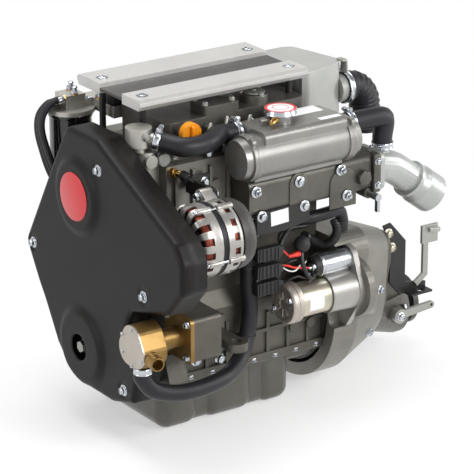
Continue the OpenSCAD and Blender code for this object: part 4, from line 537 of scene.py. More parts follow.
# %% Bolt heads
def bolt(across=12.0, height=7.0, skirt=8.5, washer=0.0, washer_thick=1.8):
    """A bolt head; its seat is at height 0 and it stands up along local Z."""
    lift = washer_thick if washer else 0.0
    shape = lathe([(0, lift), (skirt, lift), (skirt, lift + 0.9), (across * 0.56, lift + 2.2),
                   (0, lift + 2.2)], 22)
    if washer:
        ring = lathe([(0, 0), (washer, 0), (washer, washer_thick - 0.3),
                      (washer - 0.4, washer_thick), (0, washer_thick)], 24)
        put(shape, ring)
    head = hexagon(across, height - 2.0, 0.8)
    inset = [f for f in head.faces if f.normal.z > 0.9]
    bmesh.ops.inset_region(head, faces=inset, thickness=across * 0.12 * MM)
    dish = [f for f in head.faces if f.normal.z > 0.9 and f.calc_center_median().length
            < max(height, 1) * 1.2 * MM and len(f.verts) == 6]
    if dish:
        bmesh.ops.translate(head, vec=(0, 0, -0.8 * MM),
                            verts=list({v for f in dish for v in f.verts}))
    put(shape, head, shifted(0, 0, lift + 2.0))
    return shape


def bolts(name, places, finish, slot, body="engine", **size):
    """One piece of several bolts: places are (point, direction, spin)."""
    one = bolt(**size)
    shape = bmesh.new()
    for point, along, spin in places:
        join(shape, one, stand(at(*point), along, spin))
    one.free()
    return finished(name, shape, finish, body)


print("bolt heads ready")

# %% [markdown]
# ## Belt cover
# The cover is one moulded skin, 3 mm thick, that swells over the two pulleys and dips round
# its bolts. A slab gets the outline and a rounded rim; planes then cut its face into small
# squares, and each corner is pushed out by smooth steps. So the bosses flow into the face as
# they do on a moulding, which separate discs on a flat plate wouldn't.

# %% Outline of the cover
def facing_front(x):
    """Local X is -Y, local Y is up, and local Z points to the front from x."""
    return Matrix(((0, 0, -1, at(x, 0, 0).x), (-1, 0, 0, 0), (0, 1, 0, at(0, 0, 0).z),
                   (0, 0, 0, 1)))


def facing_side(y):
    """Local X is aft, local Y is up, and local Z points to the service side from y."""
    return Matrix(((1, 0, 0, at(0, 0, 0).x), (0, 0, -1, y * MM), (0, 1, 0, at(0, 0, 0).z),
                   (0, 0, 0, 1)))


def softened(points, radii, steps=7):
    """An outline whose corners are arcs of the given radii, in millimetres."""
    made = []
    for k, radius in enumerate(radii):
        before, corner, after = (Vector(points[(k + s) % len(points)]) for s in (-1, 0, 1))
        if radius < 0.5:
            made.append(tuple(corner))
            continue
        a, b = (before - corner).normalized(), (after - corner).normalized()
        half = a.angle(b) / 2
        reach = radius / math.tan(half)
        centre = corner + (a + b).normalized() * (radius / math.sin(half))
        start, end = corner + a * reach - centre, corner + b * reach - centre
        sweep = start.angle_signed(end)
        for s in range(steps + 1):
            turned = start.copy()
            turned.rotate(Matrix.Rotation(-sweep * s / steps, 2))
            made.append(tuple(centre + turned))
    return made


PUMP_Y, PUMP_Z = -210, 75
BADGE_SPOT = (-7, 288)
COVER_DEEP, SQUARE, RISE, DISH_DEEP = 52, 4, 8, 2.4
corners = [(-196.2, 152.1), (-92, -21.9), (-63.1, -51), (0, -75.8), (96.8, -75.8), (167.3, -55.9)]
corners += arc((-PUMP_Y, PUMP_Z), 62, 247, 133, 14)
corners += [(281.4, 150.7), (329.8, 204.1), (329.8, 257.6), (307.2, 288.7), (58.9, 409.7),
            (-45.2, 409.7), (-88.9, 335.8)]
radii = [19, 8, 10, 46, 14, 9] + [0] * 15 + [10, 24, 29, 19, 24, 24, 10]
cover_outline = softened(corners, radii)
print("cover outline points:", len(cover_outline))


# %% Skin of the cover
def swell(distance, inner, outer):
    """1 inside, 0 outside, and a smooth step between."""
    t = min(max((outer - distance) / (outer - inner), 0), 1)
    return t * t * (3 - 2 * t)


cover = slab(cover_outline, COVER_DEEP, 9, 5)
back = [f for f in cover.faces if all(abs(v.co.z) < 1e-6 for v in f.verts)]
bmesh.ops.delete(cover, geom=back, context="FACES")
for axis, low, high in (((1, 0, 0), -192, 328), ((0, 1, 0), -72, 408)):
    for step in range(low, high, SQUARE):
        bmesh.ops.bisect_plane(cover, geom=cover.verts[:] + cover.edges[:] + cover.faces[:],
                               dist=1e-6, plane_co=[a * step * MM for a in axis], plane_no=axis)
COVER_BOLTS = [(-168.8, 150.2), (63.1, 354.8), (206.5, 163.1), (136.8, -38.9)]
for vert in cover.verts:
    if vert.co.z < 0.0515:
        continue
    spot = Vector((vert.co.x, vert.co.y)) / MM
    rise = RISE * swell((spot - Vector(BADGE_SPOT)).length, 59, 76)
    rise = max(rise, RISE * swell(spot.length, 61, 80))
    ridge = spot.x * 0.55 - (spot.y - 190) * 0.835
    rise += 1.6 * swell(abs(ridge + 20), 20, 75) * (1 - swell(abs(spot.y - 130), 170, 100))
    for bolt_spot in COVER_BOLTS:
        rise -= (rise + DISH_DEEP) * swell((spot - Vector(bolt_spot)).length, 12, 17)
    vert.co.z += rise * MM
print("cover skin:", len(cover.faces), "faces")


# %% Holes of the cover, and its thickness
def round_hole(shape, centre, radius):
    """Takes faces away and draws the rim onto a circle."""
    centre = Vector(centre) * MM
    near = [f for f in shape.faces if f.calc_center_median().z > 0.045
            and (f.calc_center_median().xy - centre).length < (radius - 0.5) * MM]
    bmesh.ops.delete(shape, geom=near, context="FACES")
    for vert in shape.verts:
        away = vert.co.xy - centre
        if vert.is_boundary and vert.co.z > 0.045 and away.length < (radius + 6) * MM:
            vert.co.xy = centre + away.normalized() * radius * MM


round_hole(cover, (0, 0), 25)
bmesh.ops.remove_doubles(cover, verts=cover.verts, dist=0.7 * MM)
bmesh.ops.dissolve_degenerate(cover, edges=cover.edges[:], dist=0.3 * MM)
bmesh.ops.triangulate(cover, faces=[f for f in cover.faces if len(f.verts) > 4])
bmesh.ops.recalc_face_normals(cover, faces=cover.faces)
if sum(f.normal.z * f.calc_area() for f in cover.faces) < 0:
    bmesh.ops.reverse_faces(cover, faces=cover.faces)
cover.transform(facing_front(60))
belt_cover = finished("moulded_belt_cover", cover, black_mould, sharp=50)
wall = belt_cover.modifiers.new("wall", "SOLIDIFY")
wall.thickness = 3 * MM
wall.use_even_offset = False
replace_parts(belt_cover, "belt_cover")
print("belt cover:", len(belt_cover.data.polygons), "faces")

# %% [markdown]
# Each cover bolt stands in a dish: washer, hexagon flange and a rubber bush that the cover
# floats on. The post behind it reaches to the gear case.

# %% Cover bolts and posts
shape = bmesh.new()
one = bolt(across=12, height=7.5, skirt=8, washer=10.5)
for (u, v), end in zip(COVER_BOLTS, (85, 72, 85, 85)):
    join(shape, one, facing_front(10.2) @ shifted(u, v, 0))
    post = lathe([(0, 11), (4.2, 11), (4.2, 14), (7, 14.6), (7, end), (0, end)], 20)
    put(shape, post, facing_front(0) @ shifted(u, v, 0) @ Matrix.Rotation(math.pi, 4, "X"))
one.free()
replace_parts(finished("cover_bolts_and_posts", shape, bright_zinc),
            "engine_bolts")
bushes = bmesh.new()
for u, v in COVER_BOLTS:
    bush = lathe([(8, -1), (13, -1), (14, 0.4), (13, 1.6), (8, 1.6)], 28, ring=True)
    put(bushes, bush, facing_front(10.4) @ shifted(u, v, 0))
finished("cover_bushes", bushes, boot_rubber)

# The badge is a plain gloss disc with a turned edge
badge = lathe([(0, 0), (44.6, 0), (45.2, 0.5), (45.0, 1.2), (44.2, 1.5), (0, 1.6)], 72)
badge.transform(facing_front(0) @ shifted(*BADGE_SPOT, 0))
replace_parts(finished("round_badge", badge, red_gloss), "cover_badge")
print("front fittings:", made_pieces["cover_bolts_and_posts"], "faces")

# %% [markdown]
# ## Alternator
# Two die-cast bells hold a ring of laminations. Their shoulders are opened by slots for the
# cooling air, and the red lacquered winding heads show through. A lathe profile gives each
# bell; faces of its shoulder are then taken out in turn, and the skin gets its thickness.

# %% Bells
ALT_Y, ALT_Z = -236, 256


def bell(profile, slots, steps, open_heights, wall=3.5):
    """A slotted bell about local Z; faces between the given heights and radii are opened."""
    shape = lathe(profile, steps)
    per = steps // slots
    gone = []
    for face in shape.faces:
        centre = face.calc_center_median() / MM
        turn = int((math.atan2(centre.y, centre.x) % math.tau) / math.tau * steps) % per
        radius = centre.xy.length
        for low, high, inner in open_heights:
            if low < centre.z < high and radius > inner and turn < per / 2:
                gone.append(face)
                break
    bmesh.ops.delete(shape, geom=gone, context="FACES")
    bmesh.ops.solidify(shape, geom=shape.faces[:], thickness=wall * MM)
    return shape


def about(x, y, z):
    """Local Z points aft from a point."""
    return moved(x, y, z) @ Matrix.Rotation(math.pi / 2, 4, "Y")


ALT_SHAFT = about(0, ALT_Y, ALT_Z)
THROUGH_BOLTS, BOLT_RING_R = (20, 110, 200, 290), 66


def along_bolt(turn):
    """Local Z runs aft along the through bolt at this angle."""
    spoke = Matrix.Rotation(math.radians(turn), 4, "Z") @ shifted(BOLT_RING_R, 0, 0)
    return ALT_SHAFT @ spoke


front_bell = bell([(9, 72), (17, 72), (19, 74.5), (30, 75), (32, 72.6), (47, 72.4), (54, 73),
                   (60, 75.5), (64.5, 80), (67, 87), (67, 96), (67, 103), (66.2, 105),
                   (66.2, 114)], 16, 96, [(70, 96, 35)])
rear_bell = bell([(66.2, 126), (66.2, 132), (67, 134), (67, 138), (67, 149), (65.5, 155),
                  (62, 158.6), (56, 160), (9, 160)], 16, 96, [(137, 150, 60)])


def ear(centre, x0, x1, radius=13):
    """A cast ear from the bell's rim to its bolt, as an outline in (-y, z)."""
    tip = Vector((-centre[0], centre[1]))
    hub = Vector((-ALT_Y, ALT_Z))
    way = (tip - hub).normalized()
    side = Vector((-way.y, way.x)) * radius
    foot = hub + way * 62
    angle = math.degrees(math.atan2(way.y, way.x))
    outline = [tuple(foot - side * 1.5), *arc(tip, radius, angle - 90, angle + 90, 10),
               tuple(foot + side * 1.5)]
    shape = slab(outline, x1 - x0, 2.0)
    return shape, facing_front(x1)


alternator = bmesh.new()
for shape in (front_bell, rear_bell):
    put(alternator, shape, ALT_SHAFT)
for centre, x0, x1 in (((-182, 171), 72, 96), ((-190, 318), 136, 160)):
    shape, where = ear(centre, x0, x1)
    put(alternator, shape, where)
for turn in THROUGH_BOLTS:
    lug = lathe([(0, 84), (5.2, 84), (5.8, 85), (5.8, 113), (0, 113)], 16)
    rear_lug = lathe([(0, 127), (6.2, 127), (6.2, 157), (5.2, 158.5), (0, 158.5)], 16)
    for piece in (lug, rear_lug):
        put(alternator, piece, along_bolt(turn))
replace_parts(finished("alternator_bells", alternator, pale_alloy),
            "alternator_housing")
print("bells:", made_pieces["alternator_bells"], "faces")

# %% Windings, through bolts and fan
winding = bmesh.new()
for low, high in ((82, 112), (128, 150)):
    core = lathe([(50, low + 3), (60, low), (62, low + 4), (62, high - 2), (50, high - 2)], 48,
                 ring=True)
    put(winding, core, ALT_SHAFT)
    strand = block((3.2, 9, high - low), 1.3, 2)
    for k in range(48):
        turn = Matrix.Rotation(math.tau * k / 48, 4, "Z")
        tilt = Matrix.Rotation(math.radians(16), 4, "X")
        join(winding, strand, ALT_SHAFT @ turn @ shifted(55.5, 0, (low + high) / 2)
             @ Matrix.Rotation(math.pi / 2, 4, "Z") @ tilt)
    strand.free()
finished("winding_heads", winding, red_lacquer)
nuts = bmesh.new()
for turn in THROUGH_BOLTS:
    head = bolt(across=7, height=4.5, skirt=4.4)
    join(nuts, head, along_bolt(turn) @ shifted(0, 0, 84)
         @ Matrix.Rotation(math.pi, 4, "X"))
    rod = lathe([(0, 110), (2.4, 110), (2.4, 130), (0, 130)], 10)
    put(nuts, rod, along_bolt(turn))
    head.free()
finished("alternator_through_bolts", nuts, bright_zinc)
print("windings:", made_pieces["winding_heads"], "faces")

# %% [markdown]
# The rear cover is a black moulded cup with a rounded rim and air slots; wires leave it at
# the back. The ring of laminations has its stack lines from a stretched grain.

# %% Rear cover of the alternator
cup = bell([(0, 194), (38, 194), (50, 192.5), (58, 188), (62.5, 180), (63.8, 170), (63.8, 160.3)],
           24, 96, [(189, 193.5, 42)], wall=2.5)
cup.transform(ALT_SHAFT)
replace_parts(finished("alternator_rear_cup", cup, panel_mould),
            "alternator_cover")
bolts("alternator_ear_bolts",
                    [((160.3 + 7, -190, 318), (1, 0, 0), 10), ((136, -190, 318), FORWARD, 0),
                     ((72, -182, 171), FORWARD, 20), ((196, -120.2, 314), SIDEWAYS, 0)],
                    bright_zinc, "plated_steel", across=13, height=8, skirt=9.5)
print("alternator done")

# %% [markdown]
# ## Sea-water pump
# A cast brass body carries a plate of nickel bronze on six screws. The inlet is a turned hose
# stub with two raised rings, so that the hose can't slip off.

# %% Pump plate screws and stubs
screws = bmesh.new()
for angle in (30, 90, 150, 210, 270, 330):
    y = PUMP_Y + 34 * math.cos(math.radians(angle))
    z = PUMP_Z + 34 * math.sin(math.radians(angle))
    head = lathe([(0, 0), (3.6, 0), (3.8, 0.8), (3.2, 2.0), (2.0, 2.6), (1.2, 1.4), (0, 1.4)], 18)
    put(screws, head, stand(at(-19.8, y, z), FORWARD))
finished("pump_plate_screws", screws, bright_zinc)
stub_way = (-0.2079, -0.9781, 0)
stubs = bmesh.new()
lip = lathe([(10.2, 27), (12.8, 27), (13.6, 28.4), (12.8, 29.8), (12.5, 36), (13.4, 37.4),
             (12.6, 38.8), (12.4, 45.6), (11.8, 46.4), (10.2, 46.4)], 36, ring=True)
mouth = Vector((-8.14, -276.5, 63))
start = mouth - Vector(stub_way) * 46.2
put(stubs, lip, stand(at(*start), stub_way))
collar = lathe([(0, 0), (14.6, 0), (15, 0.8), (14.6, 2.6), (13.4, 4), (10.2, 4)], 32)
put(stubs, collar, stand(at(*(Vector((6, PUMP_Y, 63)) + Vector(stub_way) * 44.4)), stub_way))
web = block((44, 4, 20), 1.5)
for z in (60, 90):
    join(stubs, web, moved(54, PUMP_Y, z) @ Matrix.Rotation(math.pi / 2, 4, "X"))
web.free()
finished("pump_stub_rings", stubs, brass_cast)
bolts("pump_flange_bolts",
      [((77, PUMP_Y + a * 31, PUMP_Z + b * 31), FORWARD, 8 * a) for a in (-1, 1)
       for b in (-1, 1)], bright_zinc, "plated_steel", across=10, height=6.5, skirt=7.5)
print("pump fittings done")

# %% [markdown]
# ## Starter
# The motor's end is a cast cap with a star pressed into it. The yoke behind it is steel with
# passivated zinc, which shines in green and gold, and it carries a bare pale label.

# %% Starter motor
STARTER = about(0, -165, 62)
cap = lathe([(0, 338.5), (9, 338.5), (11, 337), (24, 336.4), (30, 337), (32, 336), (36, 336.6),
             (38.4, 339), (39, 342), (39, 347), (38, 348), (38, 350), (39, 351), (39, 359),
             (37.5, 362), (33, 362.5), (0, 362.5)], 60)
star = bmesh.new()
for k in range(8):
    arm = block((3.0, 16, 3.0), 1.3, 2)
    put(star, arm, Matrix.Rotation(math.tau * k / 8, 4, "Z") @ shifted(0, 17, 337))
put(cap, star, Matrix.Identity(4))
cap.transform(STARTER)
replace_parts(finished("starter_end_cap", cap, pump_plate), "starter_motor")
yoke = lathe([(0, 361), (33.4, 361), (33.4, 364), (32.6, 365), (32.8, 372), (33, 373),
              (33, 427), (0, 429)], 60)
yoke.transform(STARTER)
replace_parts(finished("starter_yoke", yoke, yellow_zinc), "starter_motor")
label = lathe([(33.2, 376), (33.25, 376), (33.25, 408), (33.2, 408)], 90, ring=True)
gone = [f for f in label.faces if not 20 < math.degrees(
    math.atan2(f.calc_center_median().y, f.calc_center_median().x)) % 360 < 74]
bmesh.ops.delete(label, geom=gone, context="FACES")
bmesh.ops.holes_fill(label, edges=[e for e in label.edges if e.is_boundary])
label.transform(STARTER @ Matrix.Rotation(math.radians(-140), 4, "Z"))
finished("starter_label", label, label_stock)
rods = bmesh.new()
for turn in (60, 240):
    spoke = STARTER @ Matrix.Rotation(math.radians(turn), 4, "Z") @ shifted(29, 0, 0)
    head = bolt(across=8, height=5, skirt=5.5)
    put(rods, head, spoke @ shifted(0, 0, 336.6) @ Matrix.Rotation(math.pi, 4, "X"))
finished("starter_through_bolts", rods, bright_zinc)
print("starter:", made_pieces["starter_end_cap"], "faces")

# %% [markdown]
# The solenoid sits above: a steel can, a black moulded cap, and threaded studs with nuts and
# ring terminals. A soft boot hides the battery terminal, and a red sleeve covers one wire.

# %% Solenoid and its terminals
SOLENOID = about(0, -158, 118)
can = lathe([(0, 418), (21, 418), (22, 419.5), (22, 424), (21.3, 425), (22, 426), (22, 485),
             (0, 485)], 48)
can.transform(SOLENOID)
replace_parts(finished("solenoid_can", can, bright_zinc), "starter_solenoid")
head = lathe([(0, 405), (16, 405), (18.5, 407), (20.5, 414), (21.4, 418.5), (0, 418.5)], 40)
head.transform(SOLENOID)
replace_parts(finished("solenoid_cap", head, socket_mould), "starter_solenoid")
studs = bmesh.new()
for y, z, long in ((-170, 122, 14), (-146, 114, 14), (-158, 104, 9)):
    stud = lathe([(0, -long), (2.6, -long), (3.2, -long + 1), (3.2, 0), (0, 0)], 14)
    nut = hexagon(11, 5, 0.6)
    tag = lathe([(3.4, -8.4), (8, -8.4), (8, -7), (3.4, -7)], 20, ring=True)
    foot = about(405, y, z)
    join(studs, stud, foot)
    join(studs, nut, foot @ shifted(0, 0, -6))
    join(studs, tag, foot)
    for part in (stud, nut, tag):
        part.free()
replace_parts(finished("solenoid_studs", studs, bright_zinc), "starter_solenoid")
boot = lathe([(0, -3), (11, -3), (14.5, 0), (15.5, 5), (14.5, 12), (10, 17), (5, 19), (0, 19.5)],
             32)
boot.transform(stand(at(386, -158, 168), (-0.75, -0.65, 0.1)))
finished("terminal_boot", boot, boot_rubber)
sleeve = tube([(373, -166, 153), (366, -167, 154), (358, -167, 153.5), (349, -166, 153)], 4.6,
              swell=lambda k, n: 0.75 + 0.35 * math.sin(math.pi * min(k / n + 0.25, 1)))
finished("red_terminal_sleeve", sleeve, red_sleeve)
print("solenoid and boot made")

# %% [markdown]
# ## Wiring
# Each connector is a ribbed nylon block. Its wires run in loose curves to the solenoid and
# the boot; a corrugated conduit takes the main loom to the back of the engine.

# %% Connectors and wires
ribs = bmesh.new()
for z in (167, 133, 101):
    for x in (284, 291, 300, 309, 318, 325):
        rib = block((2.4, 2.4, 21), 0.6, 1)
        put(ribs, rib, moved(x, -168.6, z))
    for dz in (-11.5, 11.5):
        lip = block((49, 15, 1.8), 0.6, 1)
        put(ribs, lip, moved(304.5, -161, z + dz))
    socket = block((9, 12, 17), 2.0, 2)
    put(ribs, socket, moved(334, -160, z))
finished("connector_ribs", ribs, socket_mould)
WIRES = [
    ("red_wire_1", red_sleeve, [(337, -163, 137), (346, -167, 136), (356, -169, 131),
                                (368, -170, 128), (386, -171, 124), (399, -170, 122)], 1.9),
    ("red_wire_2", red_sleeve, [(337, -160, 168), (344, -163, 160), (350, -166, 153)], 1.7),
    ("black_wire_1", wire_black, [(337, -158, 134), (352, -166, 142), (368, -164, 141),
                                  (382, -156, 126), (397, -147, 115)], 2.1),
    ("black_wire_2", wire_black, [(337, -161, 98), (350, -168, 108), (366, -172, 112),
                                  (384, -170, 104), (398, -160, 103)], 2.1),
    ("pale_wire", label_stock, [(337, -164, 133), (348, -170, 126), (360, -172, 125),
                                (374, -168, 131), (390, -160, 130), (400, -150, 128)], 1.4),
    ("battery_lead", wire_black, [(384, -160, 160), (378, -166, 146), (379, -172, 126),
                                  (388, -174, 108), (398, -172, 101), (404, -170, 108)], 4.2),
    ("alternator_lead", wire_black, [(194, -215, 244), (214, -205, 226), (238, -180, 200),
                                     (262, -160, 182), (280, -158, 172)], 3.0),
    ("back_loom", wire_black, [(337, -156, 170), (352, -146, 184), (380, -128, 190),
                               (420, -118, 184), (452, -112, 190)], 5.0),
]
for name, finish, route, radius in WIRES:
    finished(name, tube(route, radius, sides=3), finish)
conduit = tube([(487, -118, 181), (482, -134, 168), (470, -144, 157), (456, -146, 150),
                (442, -144, 149), (428, -140, 156), (412, -138, 168), (400, -144, 176)], 9,
               steps=9, swell=lambda k, n: 1.0 if k % 2 else 0.82, sides=3)
finished("corrugated_conduit", conduit, wire_black)
print("wires:", len(WIRES) + 1)

# %% [markdown]
# ## Exchanger, manifold and their fixings
# The filler cap wears a plain red and white ring, the tank's bare pale strips lie on its top,
# and the manifold is held by flange bolts, with one big hexagon plug at its end.

# %% Caps, strips and plugs
CAP_RINGS = [
    ("cap_label", label_stock, 60, False, [(0, 430.9), (15, 430.9), (19, 430.7), (24, 430.5),
                                           (24, 430.1), (0, 430.1)]),
    ("cap_red_ring", ring_stock, 60, True, [(24.6, 430.2), (29, 430.2), (29, 430.7),
                                            (26, 431.0), (24.6, 430.8)]),
    ("cap_inner_ring", ring_stock, 48, True, [(14, 430.8), (15.2, 430.8), (15.2, 431.1),
                                              (14, 431.1)]),
]
for name, finish, steps, hollow, edge in CAP_RINGS:
    shape = lathe(edge, steps, ring=hollow)
    shape.transform(moved(0, 0, 0) @ shifted(347, -140, 0))
    finished(name, shape, finish, "coolant_filler")
strips = bmesh.new()
for x, y, long, wide in ((418, -112, 66, 34), (436, -168, 46, 13)):
    strip = block((long, wide, 0.6), 0.2, 1)
    put(strips, strip, moved(x, y, 404.2))
plate_label = block((39, 0.8, 27), 0.2, 1)
put(strips, plate_label, moved(326.5, -168.7, 234.5)
    @ Matrix.Rotation(math.radians(-3), 4, "Y"))
finished("bare_labels", strips, label_stock)
nipple = lathe([(0, 0), (4.4, 0), (4.4, 9), (5.2, 10), (4.3, 14), (5.2, 15), (4.3, 19),
                (5.2, 20), (4.0, 25), (0, 25)], 24)
base = hexagon(12, 6, 0.6)
where = stand(at(330, -150, 413.5), (-0.80, -0.60, 0))
put(nipple, base, Matrix.Identity(4))
nipple.transform(where)
finished("overflow_nipple", nipple, brass_turned)
plug = hexagon(26, 11, 1.2)
plug.transform(stand(at(515, -165.2, 273), SIDEWAYS, 12))
finished("manifold_plug", plug, shaded_gearbox_paint)
shape = bmesh.new()
one = bolt(across=13, height=8.5, skirt=10.5)
for x, z in ((273.6, 292.7), (369.3, 294), (462.1, 298.2), (476.6, 246.4)):
    join(shape, one, stand(at(x, -170, z), SIDEWAYS, x))
    stud = lathe([(0, 6), (3.6, 6), (3.6, 12.5), (2.8, 13.4), (0, 13.4)], 14)
    if x != 369.3:
        join(shape, stud, stand(at(x, -170, z), SIDEWAYS))
    stud.free()
for x, z in ((287.3, 243.1), (381.7, 245)):
    join(shape, one, stand(at(x, -168.6, z), SIDEWAYS, x))
for x in (114, 433):
    for y in (-45.5, 88):
        join(shape, one, stand(at(x, y, 463.5), UPWARD, x + y))
one.free()
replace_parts(finished("case_bolts", shape, bright_zinc), "engine_bolts")
pads = bmesh.new()
for x, z, r in ((369.3, 290, 20), (470, 270, 30)):
    pad = slab([(x - r, z - 46), (x + r, z - 46), *arc((x, z), r, 0, 180, 12)], 3, 1.2)
    put(pads, pad, facing_side(-164.5))
flange = slab(softened([(536, 240), (552, 240), (552, 314), (536, 314)], [5] * 4), 6, 1.5)
put(pads, flange, facing_side(-168))
finished("manifold_pads", pads, shaded_gearbox_paint)
bolts("outlet_flange_bolts", [((544, -174, 254), SIDEWAYS, 0), ((544, -174, 300), SIDEWAYS, 20)],
      bright_zinc, "plated_steel", across=10, height=6, skirt=7)
print("side fittings made")

# %% [markdown]
# ## Fuel filter
# Three hoses with banjo ends leave the alloy head at the front. Brass collars and gauge-like
# plugs sit round the head, and the can below it has a rolled seam.

# %% Fuel hoses and fittings
fittings, collars = bmesh.new(), bmesh.new()
for k, start in enumerate(((72, 152.5, 419), (72, 165, 413.5), (72, 177.5, 408.5))):
    out = 34 + (start[2] - 392) / 2
    p = Vector(start)
    route = [p + Vector(s) for s in ((4, 0, 0), (-out / 2, 0, 0), (-out, 0, -0.6 * out),
                                     (-0.95 * out, -0.1 * out, -75), (-0.4 * out, -0.5 * out, -150),
                                     (40, -out, -172.5))]
    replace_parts(finished(f"fuel_hose_{k + 1}", tube(route, 6.0, steps=10, sides=4), hose_rubber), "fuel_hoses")
    sleeve = lathe([(0, 0), (7.4, 0), (7.8, 1), (7.8, 12), (7.2, 13), (6.4, 13), (0, 13)], 20)
    put(fittings, sleeve, stand(at(*(p + Vector((-2, 0, 0)))), FORWARD))
    collar = hexagon(14, 5, 0.7)
    put(collars, collar, stand(at(*(p + Vector((2.5, 0, 0)))), FORWARD, 10 * k))
for x, y, z, along, across in ((92, 148, 426, UPWARD, 13), (102, 178, 426, UPWARD, 15),
                               (112, 152, 412, (1, -0.2, 0), 12), (112, 170, 412, (1, 0.2, 0), 12),
                               (139, 121, 414.5, UPWARD, 12), (139, 139, 414.5, UPWARD, 14)):
    nut = hexagon(across, 7, 0.8)
    washer = lathe([(0, 0), (across * 0.62, 0), (across * 0.62, 1.4), (0, 1.4)], 22)
    stem = lathe([(0, 7), (4.2, 7), (4.2, 12), (5.4, 13), (5.4, 15), (3.5, 16.5), (0, 16.5)], 18)
    where = stand(at(x, y, z), along, 15)
    join(fittings, nut, where @ shifted(0, 0, 1.2))
    join(collars, washer, where)
    join(fittings, stem, where)
    for part in (nut, washer, stem):
        part.free()
finished("filter_fittings", fittings, bright_zinc)
finished("filter_brass_collars", collars, brass_turned)
seam = lathe([(39, 384), (41.2, 384), (42, 386), (42, 390), (41.2, 391.6), (39, 391.6)], 64,
             ring=True)
seam.transform(moved(92, 165, 0))
finished("filter_seam", seam, can_enamel)
drop = lathe([(0, -6), (6, -6), (7, -4), (7, 0), (16, 0), (16, 1.5), (0, 1.5)], 24)
drop.transform(moved(92, 165, 273.5))
finished("filter_drain", drop, brass_turned)
print("fuel filter fittings made")

# %% [markdown]
# ## Thermostat, rocker cover and injection
# A sensor with its wire stands by the thermostat housing. Steel injection pipes run in loops
# from the block up to the injectors beside the rocker cover.

# %% Thermostat fittings
bits = bmesh.new()
for point, along, size in (((108, -70, 366), SIDEWAYS, 14), ((118, -98, 372), SIDEWAYS, 11),
                           ((86, -100, 412), SIDEWAYS, 11)):
    head = bolt(across=size, height=8, skirt=size * 0.72)
    put(bits, head, stand(at(*point), along, 10))
ring = lathe([(0, 0), (13, 0), (13, 3), (11, 4.5), (0, 4.5)], 28)
put(bits, ring, stand(at(119, -105.5, 366), SIDEWAYS))
finished("thermostat_bolts", bits, dull_zinc)
sensor = hexagon(17, 8, 0.8)
stem = lathe([(0, 8), (6, 8), (6.5, 12), (5.5, 20), (3, 23), (0, 23)], 20)
put(sensor, stem)
sensor.transform(stand(at(136, -106, 338), (0.3, -0.95, 0.1)))
finished("temperature_sensor", sensor, brass_turned)
plug = lathe([(0, 0), (8, 0), (9, 2), (9, 13), (7.5, 16), (0, 16)], 20)
plug.transform(stand(at(142, -126, 340), (0.4, -0.8, -0.3)))
finished("sensor_plug", plug, socket_mould)
finished("sensor_wire", tube([(148, -138, 335), (168, -140, 318), (196, -128, 300),
                              (222, -118, 284), (232, -114, 268)], 1.8, sides=2),
         wire_black)
print("thermostat fittings made")

# %% Injectors and pipes
pipes, nuts = bmesh.new(), bmesh.new()
for k, x in enumerate((232, 268, 318, 366, 404)):
    lift = 6 * (k % 2)
    pipe = tube([(x, -84, 396 + lift), (x - 6, -96, 410 + lift), (x - 14, -100, 396),
                 (x - 16, -99, 372), (x - 12, -102, 352)], 3.0, sides=3)
    put(pipes, pipe)
    for point, along in (((x, -82, 394 + lift), (0, -0.8, 0.6)), ((x - 12, -99, 352), UPWARD)):
        nut = hexagon(12, 9, 0.7)
        put(nuts, nut, stand(at(*point), along, 20 * k))
finished("injection_pipes", pipes, dull_zinc)
finished("pipe_nuts", nuts, bright_zinc)
lid = lathe([(0, 435.2), (20, 435.2), (21.5, 436.4), (21.5, 438), (17, 439.2), (6, 439.5),
             (5, 441), (0, 441)], 36)
lid.transform(moved(352, -48, 0))
finished("breather_lid", lid, dull_zinc)
box_screws = [((x, y, 437), UPWARD, x) for x in (232, 290) for y in (-68, -34)]
cover_screws = [((x, y, 359), UPWARD, x) for y in (-95.5, 79)
                for x in (150, 215, 300, 380, 440)]
cover_screws += [((352 + 22 * math.cos(a), -48 + 22 * math.sin(a), 433), UPWARD, 0)
                 for a in (0.6, 2.7, 4.8)]
bolts("rocker_cover_bolts", box_screws + cover_screws, dull_zinc, "plated_steel", across=9,
      height=6, skirt=6.5)
print("injection made")

# %% [markdown]
# ## Block, pan and housings
# Rows of bolts hold the pan, the gear case, the flywheel housing and the gearbox. They stand
# where the flanges are, all round the engine, so that no side is left bare.

# %% Rows of bolts
pan_row = [((x, y, -60), UPWARD, x) for x in range(165, 460, 47) for y in (-116.6, 110.6)]
case_row = [((67, y, z), FORWARD, y) for y, z in ((-110, -40), (-110, 40), (88, -40), (88, 60),
                                                    (88, 150), (-100, 190), (-60, 300), (40, 300))]
bolts("pan_and_case_bolts", pan_row + case_row, bright_zinc, "plated_steel", across=10,
      height=6.5, skirt=7.5)
print("rows:", len(pan_row), len(case_row))
side_bits = [((232, -113.6, -38), SIDEWAYS, 4), ((180, -113.6, -30), SIDEWAYS, 9),
             ((322, -97, 182), SIDEWAYS, 0), ((300, -97, 80), SIDEWAYS, 12)]
bolts("block_side_bolts", side_bits, bright_zinc, "plated_steel", across=14, height=9, skirt=11)
cores = bmesh.new()
for x, z in ((395, 30), (360, 30)):
    core = lathe([(0, 1), (6, 1), (6.5, 2), (11, 2), (11.5, 1.4), (11.5, 0), (0, 0)], 24)
    put(cores, core, stand(at(x, -113.5, z), SIDEWAYS))
finished("block_bosses", cores, shaded_cast_paint)

